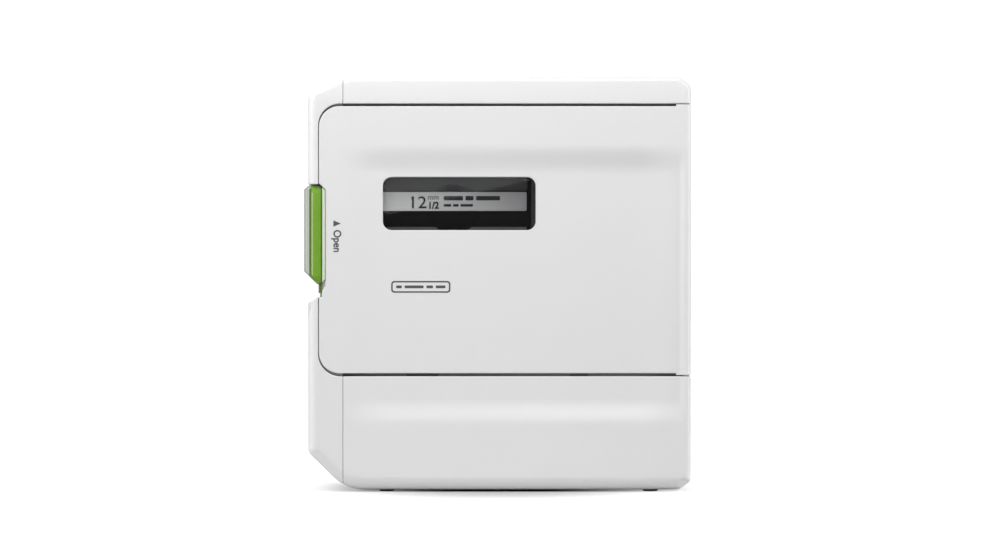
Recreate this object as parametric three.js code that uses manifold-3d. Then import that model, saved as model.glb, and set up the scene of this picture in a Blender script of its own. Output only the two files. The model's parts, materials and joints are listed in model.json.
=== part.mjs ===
// A desktop label maker: a two-shell case with an end cap, a side-hinged door over a tape cartridge,
// a printing mechanism, a press-down tape cutter and a battery bay. Millimetres, +Z up, front face
// towards -Y, origin at the middle of the footprint on the table.
import * as THREE from "three";
import { mergeVertices } from "three/addons/utils/BufferGeometryUtils.js";
import Module from "manifold-3d";

const wasm = await Module();
wasm.setup();

// ---------------------------------------------------------------- driving dimensions
const LEFT = -60.7; // case, without the cutter lever that stands proud of it
const RIGHT = 62.1;
const FRONT = -36.2;
const BACK = 36.5;
const BOTTOM = 0.64;
const TOP = 133;
const WALL = 2.2;
const GAP = 0.3; // between any two pieces
const CAP_SEAM = -49.45; // plane between the end cap and the two case shells
const SHELL_SEAM = 10; // plane between the front and rear shells

const DOOR = { left: -57, bottom: 38, top: 123.6, back: -33, corner: 6.6, flange: -24.6 };
const OPENING = { left: -57.5, bottom: 37, top: 124.5, corner: 7.1 };
const WINDOW = { x0: -36.6, x1: 12.3, z0: 84, z1: 100.6, corner: 2.6 };
const HINGE = { x: 60.3, y: -22.4, knuckle: 1.8, pin: 0.8, wallStart: -19.9 };
const SCOOP = { x0: -50, x1: 59.5, z0: 22, z1: 109.6, slope: 7, depth: 1.3 };

const TRAY = { x0: -54.2, x1: 58.4, z0: 38.6, z1: 123, face: -30, floor: -7.2, sheet: 1.6 };
const POCKET = { x0: -52.8, x1: 26.8, z0: 55.7, z1: 116.3 };
const CARTRIDGE = { x0: -52.2, x1: 26, z0: 56.5, z1: 115.5, front: -29.4, back: -9.5, wall: 1.2 };
const TAPE = { y0: -25.5, y1: -13.5, z: 63.4, sheet: 0.3 };
const ROLL = { x: -14.5, z: 85.25, r: 17, core: 10 };
const SUPPLY = { x: 13, z: 69, r: 7 };

const MODULE = 0.8;
const TEETH = { pinion: 10, idlerWheel: 28, idlerPinion: 14, platen: 20, ribbon: 14 };
const LAYERS = { outer: [-6.6, -4], inner: [-3.6, -1] };
const GEAR_PLATE = { x0: -51, x1: -6, y0: 0, y1: 1.2, z0: 57, z1: 90 };
const PLATEN = { x: -44, z: 67.3, r: 3.5 };
const HEAD = { pinX: -28.5, pinZ: 60.2, x: -44, top: 63.05 };
const MOTOR = { r: 9.8, y0: 1.6, y1: 15 };

const LEVER = { front: -36.5, back: -8.3, cavity: -60.6, ledge: 62.5 };
const STEM = { x0: -57.7, x1: -56.5, y0: -34.7, y1: -31, bottom: 63.6 };
const BLADES = { y0: -30, y1: -9.8, moving: [-55.8, -55.3], fixed: [-55, -54.5] };
const ROD = { x: -55.5, y: -4.5, r: 0.7, z0: 76.7, z1: 99.8 };

const CELL = { r: 7.05, pitch: 14.6, count: 6, mid: 3.8, y: 25.6, z0: 13.4, length: 48.6, nub: 1.4 };
const BATTERY_BOX = { x0: -42, x1: 49.6, y0: 16.2, y1: 33.6, z0: 9.1, z1: 68.4, wall: 1.4 };
const COVER = { x0: -41.9, x1: 49.5, z0: 9.2, z1: 72, corner: 3 };

const BUTTON = { x: -30, y: -8, r: 5, top: 132.9, travel: 0.6 };
const JACK = { y: 22, z: 22, r: 4.6, bore: 3.15 };
const FOOT = { width: 4.9, length: 11, height: 1.2, xs: [-35.5, 49.25], ys: [-25, 25] };
const SCREW_SINK = 1.6;
const SCREWS = [
  [-42, 122],
  [54, 122],
  [54.5, 12],
  [-45.6, 12],
];

// ---------------------------------------------------------------- geometry helpers
const white = { color: 0xe9e9ea, roughness: 0.45 };
const inner = { color: 0x5a5d60, roughness: 0.6 };
const black = { color: 0x1d1e20, roughness: 0.5 };
const steel = { color: 0xb9bcc0, roughness: 0.3, metalness: 1 };
const gearWhite = { color: 0xe8e4d8, roughness: 0.5 };

const group = new THREE.Group();

function add(name, solid, look) {
  const made = solid.getMesh();
  const geometry = new THREE.BufferGeometry();
  geometry.setAttribute("position", new THREE.BufferAttribute(made.vertProperties, 3));
  geometry.setIndex(new THREE.BufferAttribute(made.triVerts, 1));
  const mesh = new THREE.Mesh(geometry, new THREE.MeshStandardMaterial(look));
  mesh.name = name;
  group.add(mesh);
}

function solidOf(geometry) {
  geometry.deleteAttribute("normal");
  geometry.deleteAttribute("uv");
  const merged = mergeVertices(geometry, 1e-4);
  return new wasm.Manifold(
    new wasm.Mesh({
      numProp: 3,
      vertProperties: new Float32Array(merged.attributes.position.array),
      triVerts: new Uint32Array(merged.index.array),
    }),
  );
}

function union(...solids) {
  return solids.reduce((all, one) => all.add(one));
}

function cut(solid, ...tools) {
  return tools.reduce((rest, tool) => rest.subtract(tool), solid);
}

function box([x0, x1], [y0, y1], [z0, z1]) {
  const geometry = new THREE.BoxGeometry(x1 - x0, y1 - y0, z1 - z0);
  geometry.translate((x0 + x1) / 2, (y0 + y1) / 2, (z0 + z1) / 2);
  return solidOf(geometry);
}

// A shape in (x, z), in (x, y) or in (y, z), made into a prism along the axis left over.
const TURNS = {
  y: new THREE.Matrix4().makeRotationX(Math.PI / 2),
  z: new THREE.Matrix4(),
  x: new THREE.Matrix4().makeBasis(
    new THREE.Vector3(0, 1, 0),
    new THREE.Vector3(0, 0, 1),
    new THREE.Vector3(1, 0, 0),
  ),
};

function prism(axis, shape, from, to, curveSegments = 3) {
  const depth = to - from;
  const geometry = new THREE.ExtrudeGeometry(shape, { depth, bevelEnabled: false, curveSegments });
  geometry.translate(0, 0, axis === "y" ? -to : from);
  return solidOf(geometry.applyMatrix4(TURNS[axis]));
}

function disc(u, v, r) {
  return new THREE.Shape().absarc(u, v, r, 0, 2 * Math.PI, false);
}

// A round bar along an axis; (u, v) are its centre in the two other axes, in X, Y, Z order.
function rod(axis, u, v, r, from, to, sides = 24) {
  return prism(axis, disc(u, v, r), from, to, sides / 2);
}

function tube(axis, u, v, r, bore, from, to, sides = 24) {
  return cut(rod(axis, u, v, r, from, to, sides), rod(axis, u, v, bore, from - 1, to + 1, sides));
}

// A closed outline from corners [u, v, radius], given anticlockwise.
function rounded(corners) {
  const shape = new THREE.Shape();
  const points = corners.map(([u, v]) => new THREE.Vector2(u, v));
  corners.forEach(([, , radius], i) => {
    const here = points[i];
    const back = points[(i + points.length - 1) % points.length].clone().sub(here).normalize();
    const on = points[(i + 1) % points.length].clone().sub(here).normalize();
    const half = Math.acos(THREE.MathUtils.clamp(back.dot(on), -1, 1)) / 2;
    const reach = radius / Math.tan(half);
    const start = here.clone().addScaledVector(back, reach);
    if (i === 0) shape.moveTo(start.x, start.y);
    else shape.lineTo(start.x, start.y);
    if (!radius) return;
    const middle = back.clone().add(on).normalize();
    const centre = here.clone().addScaledVector(middle, radius / Math.sin(half));
    const end = here.clone().addScaledVector(on, reach);
    const a0 = Math.atan2(start.y - centre.y, start.x - centre.x);
    const a1 = Math.atan2(end.y - centre.y, end.x - centre.x);
    const left = back.x * on.y - back.y * on.x < 0;
    shape.absarc(centre.x, centre.y, radius, a0, a1, !left);
  });
  return shape;
}

function rectangle(u0, u1, v0, v1, r = 0) {
  return rounded([
    [u0, v0, r],
    [u1, v0, r],
    [u1, v1, r],
    [u0, v1, r],
  ]);
}

// The same convex outline with every side moved in by d.
function inset(corners, d) {
  const sides = corners.map(([u, v], i) => {
    const [nextU, nextV] = corners[(i + 1) % corners.length];
    const length = Math.hypot(nextU - u, nextV - v);
    const normal = [-(nextV - v) / length, (nextU - u) / length];
    return { normal, offset: normal[0] * u + normal[1] * v + d };
  });
  return corners.map(([, , radius], i) => {
    const a = sides[(i + sides.length - 1) % sides.length];
    const b = sides[i];
    const det = a.normal[0] * b.normal[1] - a.normal[1] * b.normal[0];
    const u = (a.offset * b.normal[1] - b.offset * a.normal[1]) / det;
    const v = (a.normal[0] * b.offset - b.normal[0] * a.offset) / det;
    return [u, v, Math.max(radius - d, 0)];
  });
}

// ---------------------------------------------------------------- the case's outer form
const FACE_OUTLINE = [
  [-48.5, BOTTOM, 14.8],
  [58.5, BOTTOM, 0],
  [RIGHT, 3.4, 0.8],
  [RIGHT, 130.1, 2],
  [58.5, TOP, 0],
  [-49, TOP, 21.7],
  [LEFT, 127.7, 2.5],
  [LEFT, 12.5, 2],
];
const PLAN_OUTLINE = [
  [LEFT, FRONT, 3.5],
  [RIGHT, FRONT, 2.4],
  [RIGHT, BACK, 4],
  [LEFT, BACK, 4],
];
const SIDE_OUTLINE = [
  [FRONT, BOTTOM, 5],
  [BACK, BOTTOM, 5],
  [BACK, TOP, 4],
  [FRONT, TOP, 4],
];

function caseForm(d) {
  const face = prism("y", rounded(inset(FACE_OUTLINE, d)), FRONT - 1, BACK + 1);
  const plan = prism("z", rounded(inset(PLAN_OUTLINE, d)), -1, TOP + 1);
  const side = prism("x", rounded(inset(SIDE_OUTLINE, d)), LEFT - 1, RIGHT + 1);
  return face.intersect(plan).intersect(side);
}

// The shallow grip hollow across the front: slopes at its top and foot, ramps at its ends.
function scoop() {
  const { x0, x1, z0, z1, slope, depth } = SCOOP;
  const profile = rounded([
    [FRONT - 1, z0, 0],
    [FRONT, z0, 0],
    [FRONT + depth, z0 + slope, 0],
    [FRONT + depth, z1 - slope, 0],
    [FRONT, z1, 0],
    [FRONT - 1, z1, 0],
  ]);
  const plan = rounded([
    [x0, FRONT - 1, 0],
    [x1, FRONT - 1, 0],
    [x1, FRONT, 0],
    [x1 - 1, FRONT + depth, 0],
    [x0 + 2 * slope, FRONT + depth, 0],
    [x0, FRONT, 0],
  ]);
  return prism("x", profile, x0, x1).intersect(prism("z", plan, z0, z1));
}

// The door opening: rounded at the end cap, open at the hinge side.
function openingOutline(d) {
  const { left, bottom, top, corner } = OPENING;
  return rounded([
    [left - d, bottom - d, corner + d],
    [RIGHT + 5, bottom - d, 0],
    [RIGHT + 5, top + d, 0],
    [left - d, top + d, corner + d],
  ]);
}

// The V-shaped finger groove where the label comes out of the end cap.
const GROOVE_FLOOR = -57.6;
function groove(d) {
  const outline = rounded([
    [LEFT - 5, 57 - d, 0],
    [GROOVE_FLOOR + d, LEVER.ledge - d, 0],
    [GROOVE_FLOOR + d, 71 + d, 0],
    [LEFT - 5, 79.6 + d, 0],
  ]);
  return prism("y", outline, FRONT - 1, BACK + 1);
}

const form = caseForm(0);
const hollow = caseForm(WALL);

// ---------------------------------------------------------------- chassis
function chassis() {
  const { x0, x1, z0, z1, face, floor, sheet } = TRAY;
  const skirt = box([x0, x1], [face, -24.5], [z0, z1]).subtract(
    box([x0 + sheet, x1 - sheet], [face + sheet, -20], [z0 + sheet, z1 - sheet]),
  );
  const well = box(
    [x0, POCKET.x1 + 1.4],
    [face, floor],
    [POCKET.z0 - 1.4, POCKET.z1 + 1.4],
  );
  const pocket = box([POCKET.x0, POCKET.x1], [face - 1, floor - sheet], [POCKET.z0, POCKET.z1]);
  const tapeExit = box([x0 - 1, POCKET.x0 + 1], [TAPE.y0 - 1.5, TAPE.y1 + 1.5], [61.9, 65.6]);
  const spindleWays = [PLATEN, ribbonAt].map(({ x, z }) => rod("y", x, z, 2.4, -12, 0, 16));
  const pinWay = rod("y", HEAD.pinX, HEAD.pinZ, 1.3, -12, 0, 12);
  const thumbHollow = box([POCKET.x1 - 6, POCKET.x1 + 10], [face - 1, face + 9], [80, 96]);
  const hollowLining = box([POCKET.x1 - 6, POCKET.x1 + 11.4], [face, face + 10.4], [78.6, 97.4]);
  return cut(
    union(skirt, well, hollowLining),
    pocket,
    thumbHollow,
    tapeExit,
    ...spindleWays,
    pinWay,
  );
}

function gearPlate() {
  const { x0, x1, y0, y1, z0, z1 } = GEAR_PLATE;
  const plate = prism("y", rectangle(x0, x1, z0, z1, 3), y0, y1);
  const posts = [
    [x1 - 4, z0 + 4],
    [x1 - 4, z1 - 4],
    [x0 + 4, z1 - 4],
  ].map(([x, z]) => rod("y", x, z, 1.5, TRAY.floor + GAP, y0 + 0.5, 10));
  const shaftWays = [PLATEN, idlerAt].map(({ x, z }) => rod("y", x, z, 1.5, -3, 3, 12));
  const pinionWay = rod("y", motorAt.x, motorAt.z, 5.2, -3, 3, 16);
  return cut(union(plate, ...posts), ...shaftWays, pinionWay);
}

// ---------------------------------------------------------------- gears
function polar(centre, distance, degrees) {
  const angle = THREE.MathUtils.degToRad(degrees);
  return { x: centre.x + distance * Math.cos(angle), z: centre.z + distance * Math.sin(angle) };
}

function gearShape({ x, z }, teeth, turn) {
  const pitch = (MODULE * teeth) / 2;
  const flanks = [
    [pitch - 1.05 * MODULE, 0.3],
    [pitch + 0.8 * MODULE, 0.13],
  ];
  const shape = new THREE.Shape();
  const step = (2 * Math.PI) / teeth;
  for (let i = 0; i < teeth; i += 1) {
    const middle = turn + i * step;
    const corners = [
      [flanks[0][0], -flanks[0][1]],
      [flanks[1][0], -flanks[1][1]],
      [flanks[1][0], flanks[1][1]],
      [flanks[0][0], flanks[0][1]],
    ];
    corners.forEach(([r, part], j) => {
      const angle = middle + part * step;
      const point = [x + r * Math.cos(angle), z + r * Math.sin(angle)];
      if (i + j === 0) shape.moveTo(...point);
      else shape.lineTo(...point);
    });
  }
  return shape;
}

// The turn that puts a gap of the second gear opposite a tooth of the first.
function meshTurn(first, second) {
  const away = Math.atan2(second.z - first.z, second.x - first.x);
  const firstPhase = first.teeth * (away - first.turn);
  return away + Math.PI - (Math.PI - firstPhase) / second.teeth;
}

function gear(at, teeth, turn, [y0, y1]) {
  return prism("y", gearShape(at, teeth, turn), y0, y1);
}

const reach = (a, b) => (MODULE * (a + b)) / 2;
const idlerAt = polar(PLATEN, reach(TEETH.platen, TEETH.idlerPinion), 0);
const ribbonAt = polar(PLATEN, reach(TEETH.platen, TEETH.ribbon), 62);
const motorAt = polar(idlerAt, reach(TEETH.idlerWheel, TEETH.pinion), 40);

// ---------------------------------------------------------------- case shells
const CAP_SIDE = box([-80, CAP_SEAM - GAP / 2], [-50, 50], [-5, 140]);
const FRONT_SIDE = box([CAP_SEAM + GAP / 2, 80], [-50, SHELL_SEAM - GAP / 2], [-5, 140]);
const REAR_SIDE = box([CAP_SEAM + GAP / 2, 80], [SHELL_SEAM + GAP / 2, 50], [-5, 140]);
const RIM = 1.5; // wall round the door opening
const RIM_BACK = -25;

function footPockets() {
  return FOOT.xs.flatMap((x) =>
    FOOT.ys.map((y) => {
      const halfWidth = FOOT.width / 2 + GAP;
      const halfLength = FOOT.length / 2 + GAP;
      const outline = rectangle(
        x - halfWidth,
        x + halfWidth,
        y - halfLength,
        y + halfLength,
        halfWidth - 0.01,
      );
      return prism("z", outline, -1, FOOT.height + GAP);
    }),
  );
}

function doorRim() {
  const ring = prism("y", openingOutline(RIM), FRONT + 2, RIM_BACK).subtract(
    prism("y", openingOutline(0), FRONT - 1, RIM_BACK + 1),
  );
  return ring.intersect(caseForm(WALL / 2)).intersect(box([-80, 58], [-50, 50], [-5, 140]));
}

function frontCase() {
  const shell = cut(form, hollow, scoop());
  const doorway = prism("y", openingOutline(0), FRONT - 1, DOOR.back);
  const flangeWay = box([56, 80], [-50, HINGE.wallStart], [OPENING.bottom, OPENING.top]);
  const strips = cut(shell, doorway, flangeWay).add(doorRim());
  // two catches of the door drop into these slots in the sill
  const slots = [
    box([-28.6, -19], [-32, -28], [30, OPENING.bottom + 1]),
    box([23.3, 29.1], [-32, -28], [30, OPENING.bottom + 1]),
  ];
  const bosses = SCREWS.map(([x, z]) =>
    tube("y", x, z, 2.8, 1.3, -4, SHELL_SEAM - GAP / 2, 10).add(
      box([x - 0.8, x + 0.8], [-4, SHELL_SEAM - GAP / 2], z > 60 ? [z + 2, TOP - 1] : [1.5, z - 2]),
    ),
  );
  const knuckles = [
    [50.3, 60],
    [101.6, 111.3],
  ].map(([z0, z1]) => rod("z", HINGE.x, HINGE.y, HINGE.knuckle, z0, z1, 12));
  const jamb = box([RIGHT - WALL, RIGHT], [HINGE.y - 0.5, HINGE.wallStart + 1], [50.3, 111.3]);
  const pinWays = [
    [50, 60],
    [101.6, 112],
  ].map(([z0, z1]) => rod("z", HINGE.x, HINGE.y, HINGE.pin + GAP, z0, z1, 12));
  const buttonWell = rod("z", BUTTON.x, BUTTON.y, BUTTON.r + 2.6, 125, TOP + 1, 18);
  return cut(
    union(strips, ...bosses.map((boss) => boss.intersect(form)), ...knuckles, jamb).intersect(
      FRONT_SIDE,
    ),
    buttonWell,
    ...pinWays,
    ...slots,
    ...footPockets(),
  );
}

function rearCase() {
  const shell = form.subtract(hollow).intersect(REAR_SIDE);
  const { x0, x1, z0, z1, corner } = COVER;
  const hatch = rectangle(x0 - 0.4, x1 + 0.4, z0 - 0.4, z1 + 0.4, corner + 0.4);
  const posts = SCREWS.map(([x, z]) =>
    rod("y", x, z, 2.8, SHELL_SEAM + GAP / 2, BACK - 1, 10),
  );
  const screwWays = SCREWS.map(([x, z]) =>
    rod("y", x, z, 1.4, 0, 50, 10).add(rod("y", x, z, 3, BACK - SCREW_SINK, 50, 16)),
  );
  const jackWay = rod("x", JACK.y, JACK.z, JACK.r + GAP, 50, 80, 20);
  const plateRecess = box([-18, 30], [BACK - 0.4, 50], [86, 108]);
  return cut(
    union(shell, ...posts),
    prism("y", hatch, 30, 50),
    ...screwWays,
    jackWay,
    plateRecess,
    ...footPockets(),
  );
}

function leftEndCap() {
  const shell = cut(form, hollow, scoop());
  const grooved = shell.add(groove(WALL - 0.6).intersect(form)).subtract(groove(0));
  const doorway = prism("y", openingOutline(0), FRONT - 1, DOOR.back + 0.4);
  const leverWay = box([-70, -50], [-50, LEVER.back + GAP], [LEVER.ledge, 98.6]);
  const stemWay = box([STEM.x0 - 0.4, -50], [STEM.y0 - GAP, STEM.y1 + GAP], [60.6, 70]);
  return cut(union(grooved.subtract(doorway), doorRim()), leverWay, stemWay).intersect(CAP_SIDE);
}

add("front_case", frontCase(), white);
add("rear_case", rearCase(), white);
add("left_end_cap", leftEndCap(), white);

// ---------------------------------------------------------------- door
function cartridgeDoor() {
  const { left, bottom, top, back, corner, flange } = DOOR;
  const outline = rounded([
    [left, bottom, corner],
    [RIGHT + 5, bottom, 0],
    [RIGHT + 5, top, 0],
    [left, top, corner],
  ]);
  const panel = prism("y", outline, FRONT - 1, back);
  const side = box([RIGHT - 2.4, RIGHT + 1], [back - 1, flange], [bottom, top]);
  const ears = box([57.4, RIGHT + 1], [FRONT - 1, flange], [bottom - 0.6, top + 0.6]).subtract(
    box([50, RIGHT - 2.4], [back, 0], [0, TOP]),
  );
  const skin = union(panel, side, ears).intersect(form).subtract(scoop());
  const knuckles = [
    [bottom + 0.6, 50],
    [111.6, top - 0.6],
  ].map(([z0, z1]) =>
    rod("z", HINGE.x, HINGE.y, HINGE.knuckle, z0, z1, 12)
      .add(box([RIGHT - 2.4, RIGHT], [flange - 1, HINGE.y], [z0, z1]))
      .subtract(rod("z", HINGE.x, HINGE.y, HINGE.pin + GAP, z0 - 1, z1 + 1, 12)),
  );
  const hooks = [
    [43, 51],
    [108, 116],
  ].map(([z0, z1]) => box([-56.2, -54.8], [back - 1, -28.4], [z0, z1]));
  const tabs = [
    [-27.8, -19.8],
    [24, 28.4],
  ].map(([x0, x1]) => box([x0, x1], [back - 1, back + 1.6], [bottom + 0.4, bottom + 6]));
  const { x0, x1, z0, z1 } = WINDOW;
  const windowHole = prism("y", rectangle(x0, x1, z0, z1, WINDOW.corner), -50, -20);
  const leverWay = rounded([
    [-70, LEVER.ledge, 0],
    [-56.1, LEVER.ledge, 0],
    [-56.1, 64.2, 0],
    [-54.9, 65.8, 0],
    [-54.9, 97.1, 0],
    [-56.4, 98.7, 0],
    [-70, 98.7, 0],
  ]);
  return cut(
    union(skin, ...knuckles, ...hooks, ...tabs),
    windowHole,
    prism("y", leverWay, -50, -20),
    box([-60, -56.1], [STEM.y0 - GAP, -20], [60.6, 70]),
  );
}

function doorWindow() {
  const { x0, x1, z0, z1, corner } = WINDOW;
  const face = rectangle(x0 + GAP, x1 - GAP, z0 + GAP, z1 - GAP, corner - GAP);
  const flange = rectangle(x0 - 2, x1 + 2, z0 - 2, z1 + 2, corner);
  const front = FRONT + SCOOP.depth + 0.05;
  return prism("y", face, front, DOOR.back + GAP + 0.1).add(
    prism("y", flange, DOOR.back + GAP, DOOR.back + 1.3),
  );
}

add("cartridge_door", cartridgeDoor(), white);
add("door_window", doorWindow(), { color: 0x3b3d40, roughness: 0.1, transparent: true, opacity: 0.6 });
[
  ["hinge_pin_lower", DOOR.bottom + 0.9, 59.6],
  ["hinge_pin_upper", 102, DOOR.top - 0.9],
].forEach(([name, z0, z1]) =>
  add(name, rod("z", HINGE.x, HINGE.y, HINGE.pin, z0, z1, 10), steel),
);

// ---------------------------------------------------------------- battery cover, button, jack, feet
function batteryCover() {
  const { x0, x1, z0, z1, corner } = COVER;
  const plate = prism("y", rectangle(x0, x1, z0, z1, corner), BACK - WALL, BACK);
  const mid = (x0 + x1) / 2;
  const thumb = prism(
    "y",
    rectangle(mid - 9, mid + 9, z1 - 11, z1 - 4.5, 3),
    BACK - 0.8,
    BACK + 1,
  );
  const latchSlits = [-9.5, 8.5].map((dx) =>
    box([mid + dx, mid + dx + 1], [BACK - 3, BACK + 1], [z1 - 9, z1 + 1]),
  );
  const ribs = [-30, 0, 30].map((dx) =>
    box([mid + dx - 2, mid + dx + 2], [BACK - WALL - 1, BACK - 1], [34, 42]),
  );
  return union(cut(plate, thumb, ...latchSlits), ...ribs);
}

function powerButton() {
  const cap = rod("z", BUTTON.x, BUTTON.y, BUTTON.r, 129.4, BUTTON.top, 20);
  return cap.add(rod("z", BUTTON.x, BUTTON.y, 1.6, 127.6, 130, 10));
}

add("battery_cover", batteryCover(), white);
add("power_button", powerButton(), { color: 0xd5d7d9, roughness: 0.35 });
add(
  "status_light",
  tube("z", BUTTON.x, BUTTON.y, BUTTON.r + 2.3, BUTTON.r + GAP, 129.6, BUTTON.top, 20),
  { color: 0x9fd36a, roughness: 0.2 },
);
add(
  "button_board",
  box([BUTTON.x - 10, BUTTON.x + 10], [BUTTON.y - 6, BUTTON.y + 6], [124.9, 126.2]).add(
    box([BUTTON.x - 2.5, BUTTON.x + 2.5], [BUTTON.y - 2.5, BUTTON.y + 2.5], [126, 126.8]),
  ),
  { color: 0x1f5b3a, roughness: 0.5 },
);
add(
  "power_jack",
  cut(
    rod("x", JACK.y, JACK.z, JACK.r, 50.2, RIGHT - 0.5, 16),
    rod("x", JACK.y, JACK.z, JACK.bore, 53, RIGHT + 1, 16),
  ).add(rod("x", JACK.y, JACK.z, 1, 51, RIGHT - 2, 8)),
  black,
);
FOOT.xs.forEach((x, i) =>
  FOOT.ys.forEach((y, j) => {
    const halfWidth = FOOT.width / 2;
    const outline = rectangle(
      x - halfWidth,
      x + halfWidth,
      y - FOOT.length / 2,
      y + FOOT.length / 2,
      halfWidth - 0.01,
    );
    const name = `foot_${["left", "right"][i]}_${["front", "rear"][j]}`;
    add(name, prism("z", outline, 0, FOOT.height), black);
  }),
);
SCREWS.forEach(([x, z], i) => {
  const head = rod("y", x, z, 2.5, BACK - SCREW_SINK + GAP, BACK - 0.2, 12);
  const cross = union(
    box([x - 1.4, x + 1.4], [BACK - 0.9, BACK], [z - 0.3, z + 0.3]),
    box([x - 0.3, x + 0.3], [BACK - 0.9, BACK], [z - 1.4, z + 1.4]),
  );
  const shank = rod("y", x, z, 1, 1, BACK - 1, 8);
  add(`case_screw_${i + 1}`, cut(head.add(shank), cross), steel);
});


// ---------------------------------------------------------------- chassis and drive
add("chassis", chassis(), inner);
add("gear_plate", gearPlate(), steel);

const platenWheel = { ...PLATEN, teeth: TEETH.platen, turn: 0.1 };
const idlerSmall = { ...idlerAt, teeth: TEETH.idlerPinion };
idlerSmall.turn = meshTurn(platenWheel, idlerSmall);
const idlerLarge = { ...idlerAt, teeth: TEETH.idlerWheel, turn: idlerSmall.turn };
const pinionWheel = { ...motorAt, teeth: TEETH.pinion };
pinionWheel.turn = meshTurn(idlerLarge, pinionWheel);
const ribbonWheel = { ...ribbonAt, teeth: TEETH.ribbon };
ribbonWheel.turn = meshTurn(platenWheel, ribbonWheel);

function wheel(spec, layer) {
  return gear(spec, spec.teeth, spec.turn, layer);
}

function spindle({ x, z }, r, from, to) {
  return rod("y", x, z, r, from, to, 12);
}

add(
  "platen_gear",
  union(
    wheel(platenWheel, LAYERS.outer),
    spindle(PLATEN, 2, -8.9, -6.5),
    spindle(PLATEN, 1.4, -24, -6.5),
    spindle(PLATEN, 1, -4.2, 0.9),
  ),
  gearWhite,
);
add(
  "ribbon_gear",
  union(
    wheel(ribbonWheel, LAYERS.outer),
    spindle(ribbonAt, 2, -8.9, -6.5),
    spindle(ribbonAt, 1.2, -22, -6.5),
  ),
  gearWhite,
);
add(
  "idler_gear",
  union(
    wheel(idlerSmall, [LAYERS.outer[0], LAYERS.inner[0] + 0.1]),
    wheel(idlerLarge, LAYERS.inner),
    spindle(idlerAt, 1, -1.2, 0.9),
  ),
  gearWhite,
);
add(
  "motor_pinion",
  cut(wheel(pinionWheel, LAYERS.inner), spindle(motorAt, 1.1, -2.4, 0)),
  { color: 0xb08d4a, roughness: 0.35, metalness: 1 },
);
add(
  "motor",
  union(
    rod("y", motorAt.x, motorAt.z, MOTOR.r, MOTOR.y0, MOTOR.y1, 28),
    rod("y", motorAt.x, motorAt.z, 3, MOTOR.y0 - 0.8, MOTOR.y0 + 0.5, 14),
    rod("y", motorAt.x, motorAt.z, 0.8, -2.1, MOTOR.y0, 10),
  ),
  steel,
);

// ---------------------------------------------------------------- print head
const armBoss = rod("y", HEAD.pinX, HEAD.pinZ, 2.3, -27, -11, 14);
add(
  "head_arm",
  cut(
    armBoss.add(box([HEAD.x - 4.2, HEAD.pinX], [-27, -11], [59.3, 61])),
    rod("y", HEAD.pinX, HEAD.pinZ, 1.2, -40, 0, 12),
  ),
  steel,
);
add("head_pivot_pin", rod("y", HEAD.pinX, HEAD.pinZ, 0.9, -28, -7.4, 12), steel);
add(
  "print_head",
  box([HEAD.x - 3, HEAD.x + 3], [-26.5, -11.5], [61.3, HEAD.top - 0.3]).add(
    box([HEAD.x - 0.8, HEAD.x + 0.8], [-25.5, -12.5], [62, HEAD.top]),
  ),
  { color: 0xd8d2c4, roughness: 0.3 },
);
add(
  "heat_sink",
  cut(
    box([HEAD.x - 4.2, HEAD.x + 4.2], [-26, -12], [57.2, 59]),
    ...[-2.6, 0, 2.6].map((dx) =>
      box([HEAD.x + dx - 0.5, HEAD.x + dx + 0.5], [-27, -11], [57, 58.2]),
    ),
  ),
  { color: 0xc3c6c9, roughness: 0.35, metalness: 1 },
);

class Coil extends THREE.Curve {
  constructor(centre, axis, radius, from, to, turns) {
    super();
    Object.assign(this, { centre, axis, radius, from, to, turns });
  }

  getPoint(t, target = new THREE.Vector3()) {
    const angle = 2 * Math.PI * this.turns * t;
    const u = this.centre[0] + this.radius * Math.cos(angle);
    const v = this.centre[1] + this.radius * Math.sin(angle);
    const along = THREE.MathUtils.lerp(this.from, this.to, t);
    return this.axis === "z" ? target.set(u, v, along) : target.set(u, along, v);
  }
}

function coil(centre, axis, radius, wire, from, to, turns) {
  const extrudePath = new Coil(centre, axis, radius, from + wire, to - wire, turns);
  const geometry = new THREE.ExtrudeGeometry(disc(0, 0, wire), {
    steps: turns * 10,
    extrudePath,
    curveSegments: 3,
  });
  return solidOf(geometry);
}

add("head_spring", coil([HEAD.pinX, HEAD.pinZ], "y", 1.7, 0.3, -10.7, -9, 2), steel);

// ---------------------------------------------------------------- tape cartridge
function cartridge() {
  const { x0, x1, z0, z1, front, back, wall } = CARTRIDGE;
  const outline = rectangle(x0, x1, z0, z1, 1.5);
  const body = prism("y", outline, front, back);
  const room = box([x0 + wall, x1 - wall], [front + wall, back - wall], [z0 + wall, z1 - wall]);
  const headWay = box([x0 - 1, -25], [front - 1, back + 1], [z0 - 1, 64.7]);
  const spindleWays = [PLATEN, ribbonAt].map(({ x, z }) => rod("y", x, z, 3, -14, 0, 16));
  return cut(body, room, headWay, ...spindleWays);
}

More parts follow.
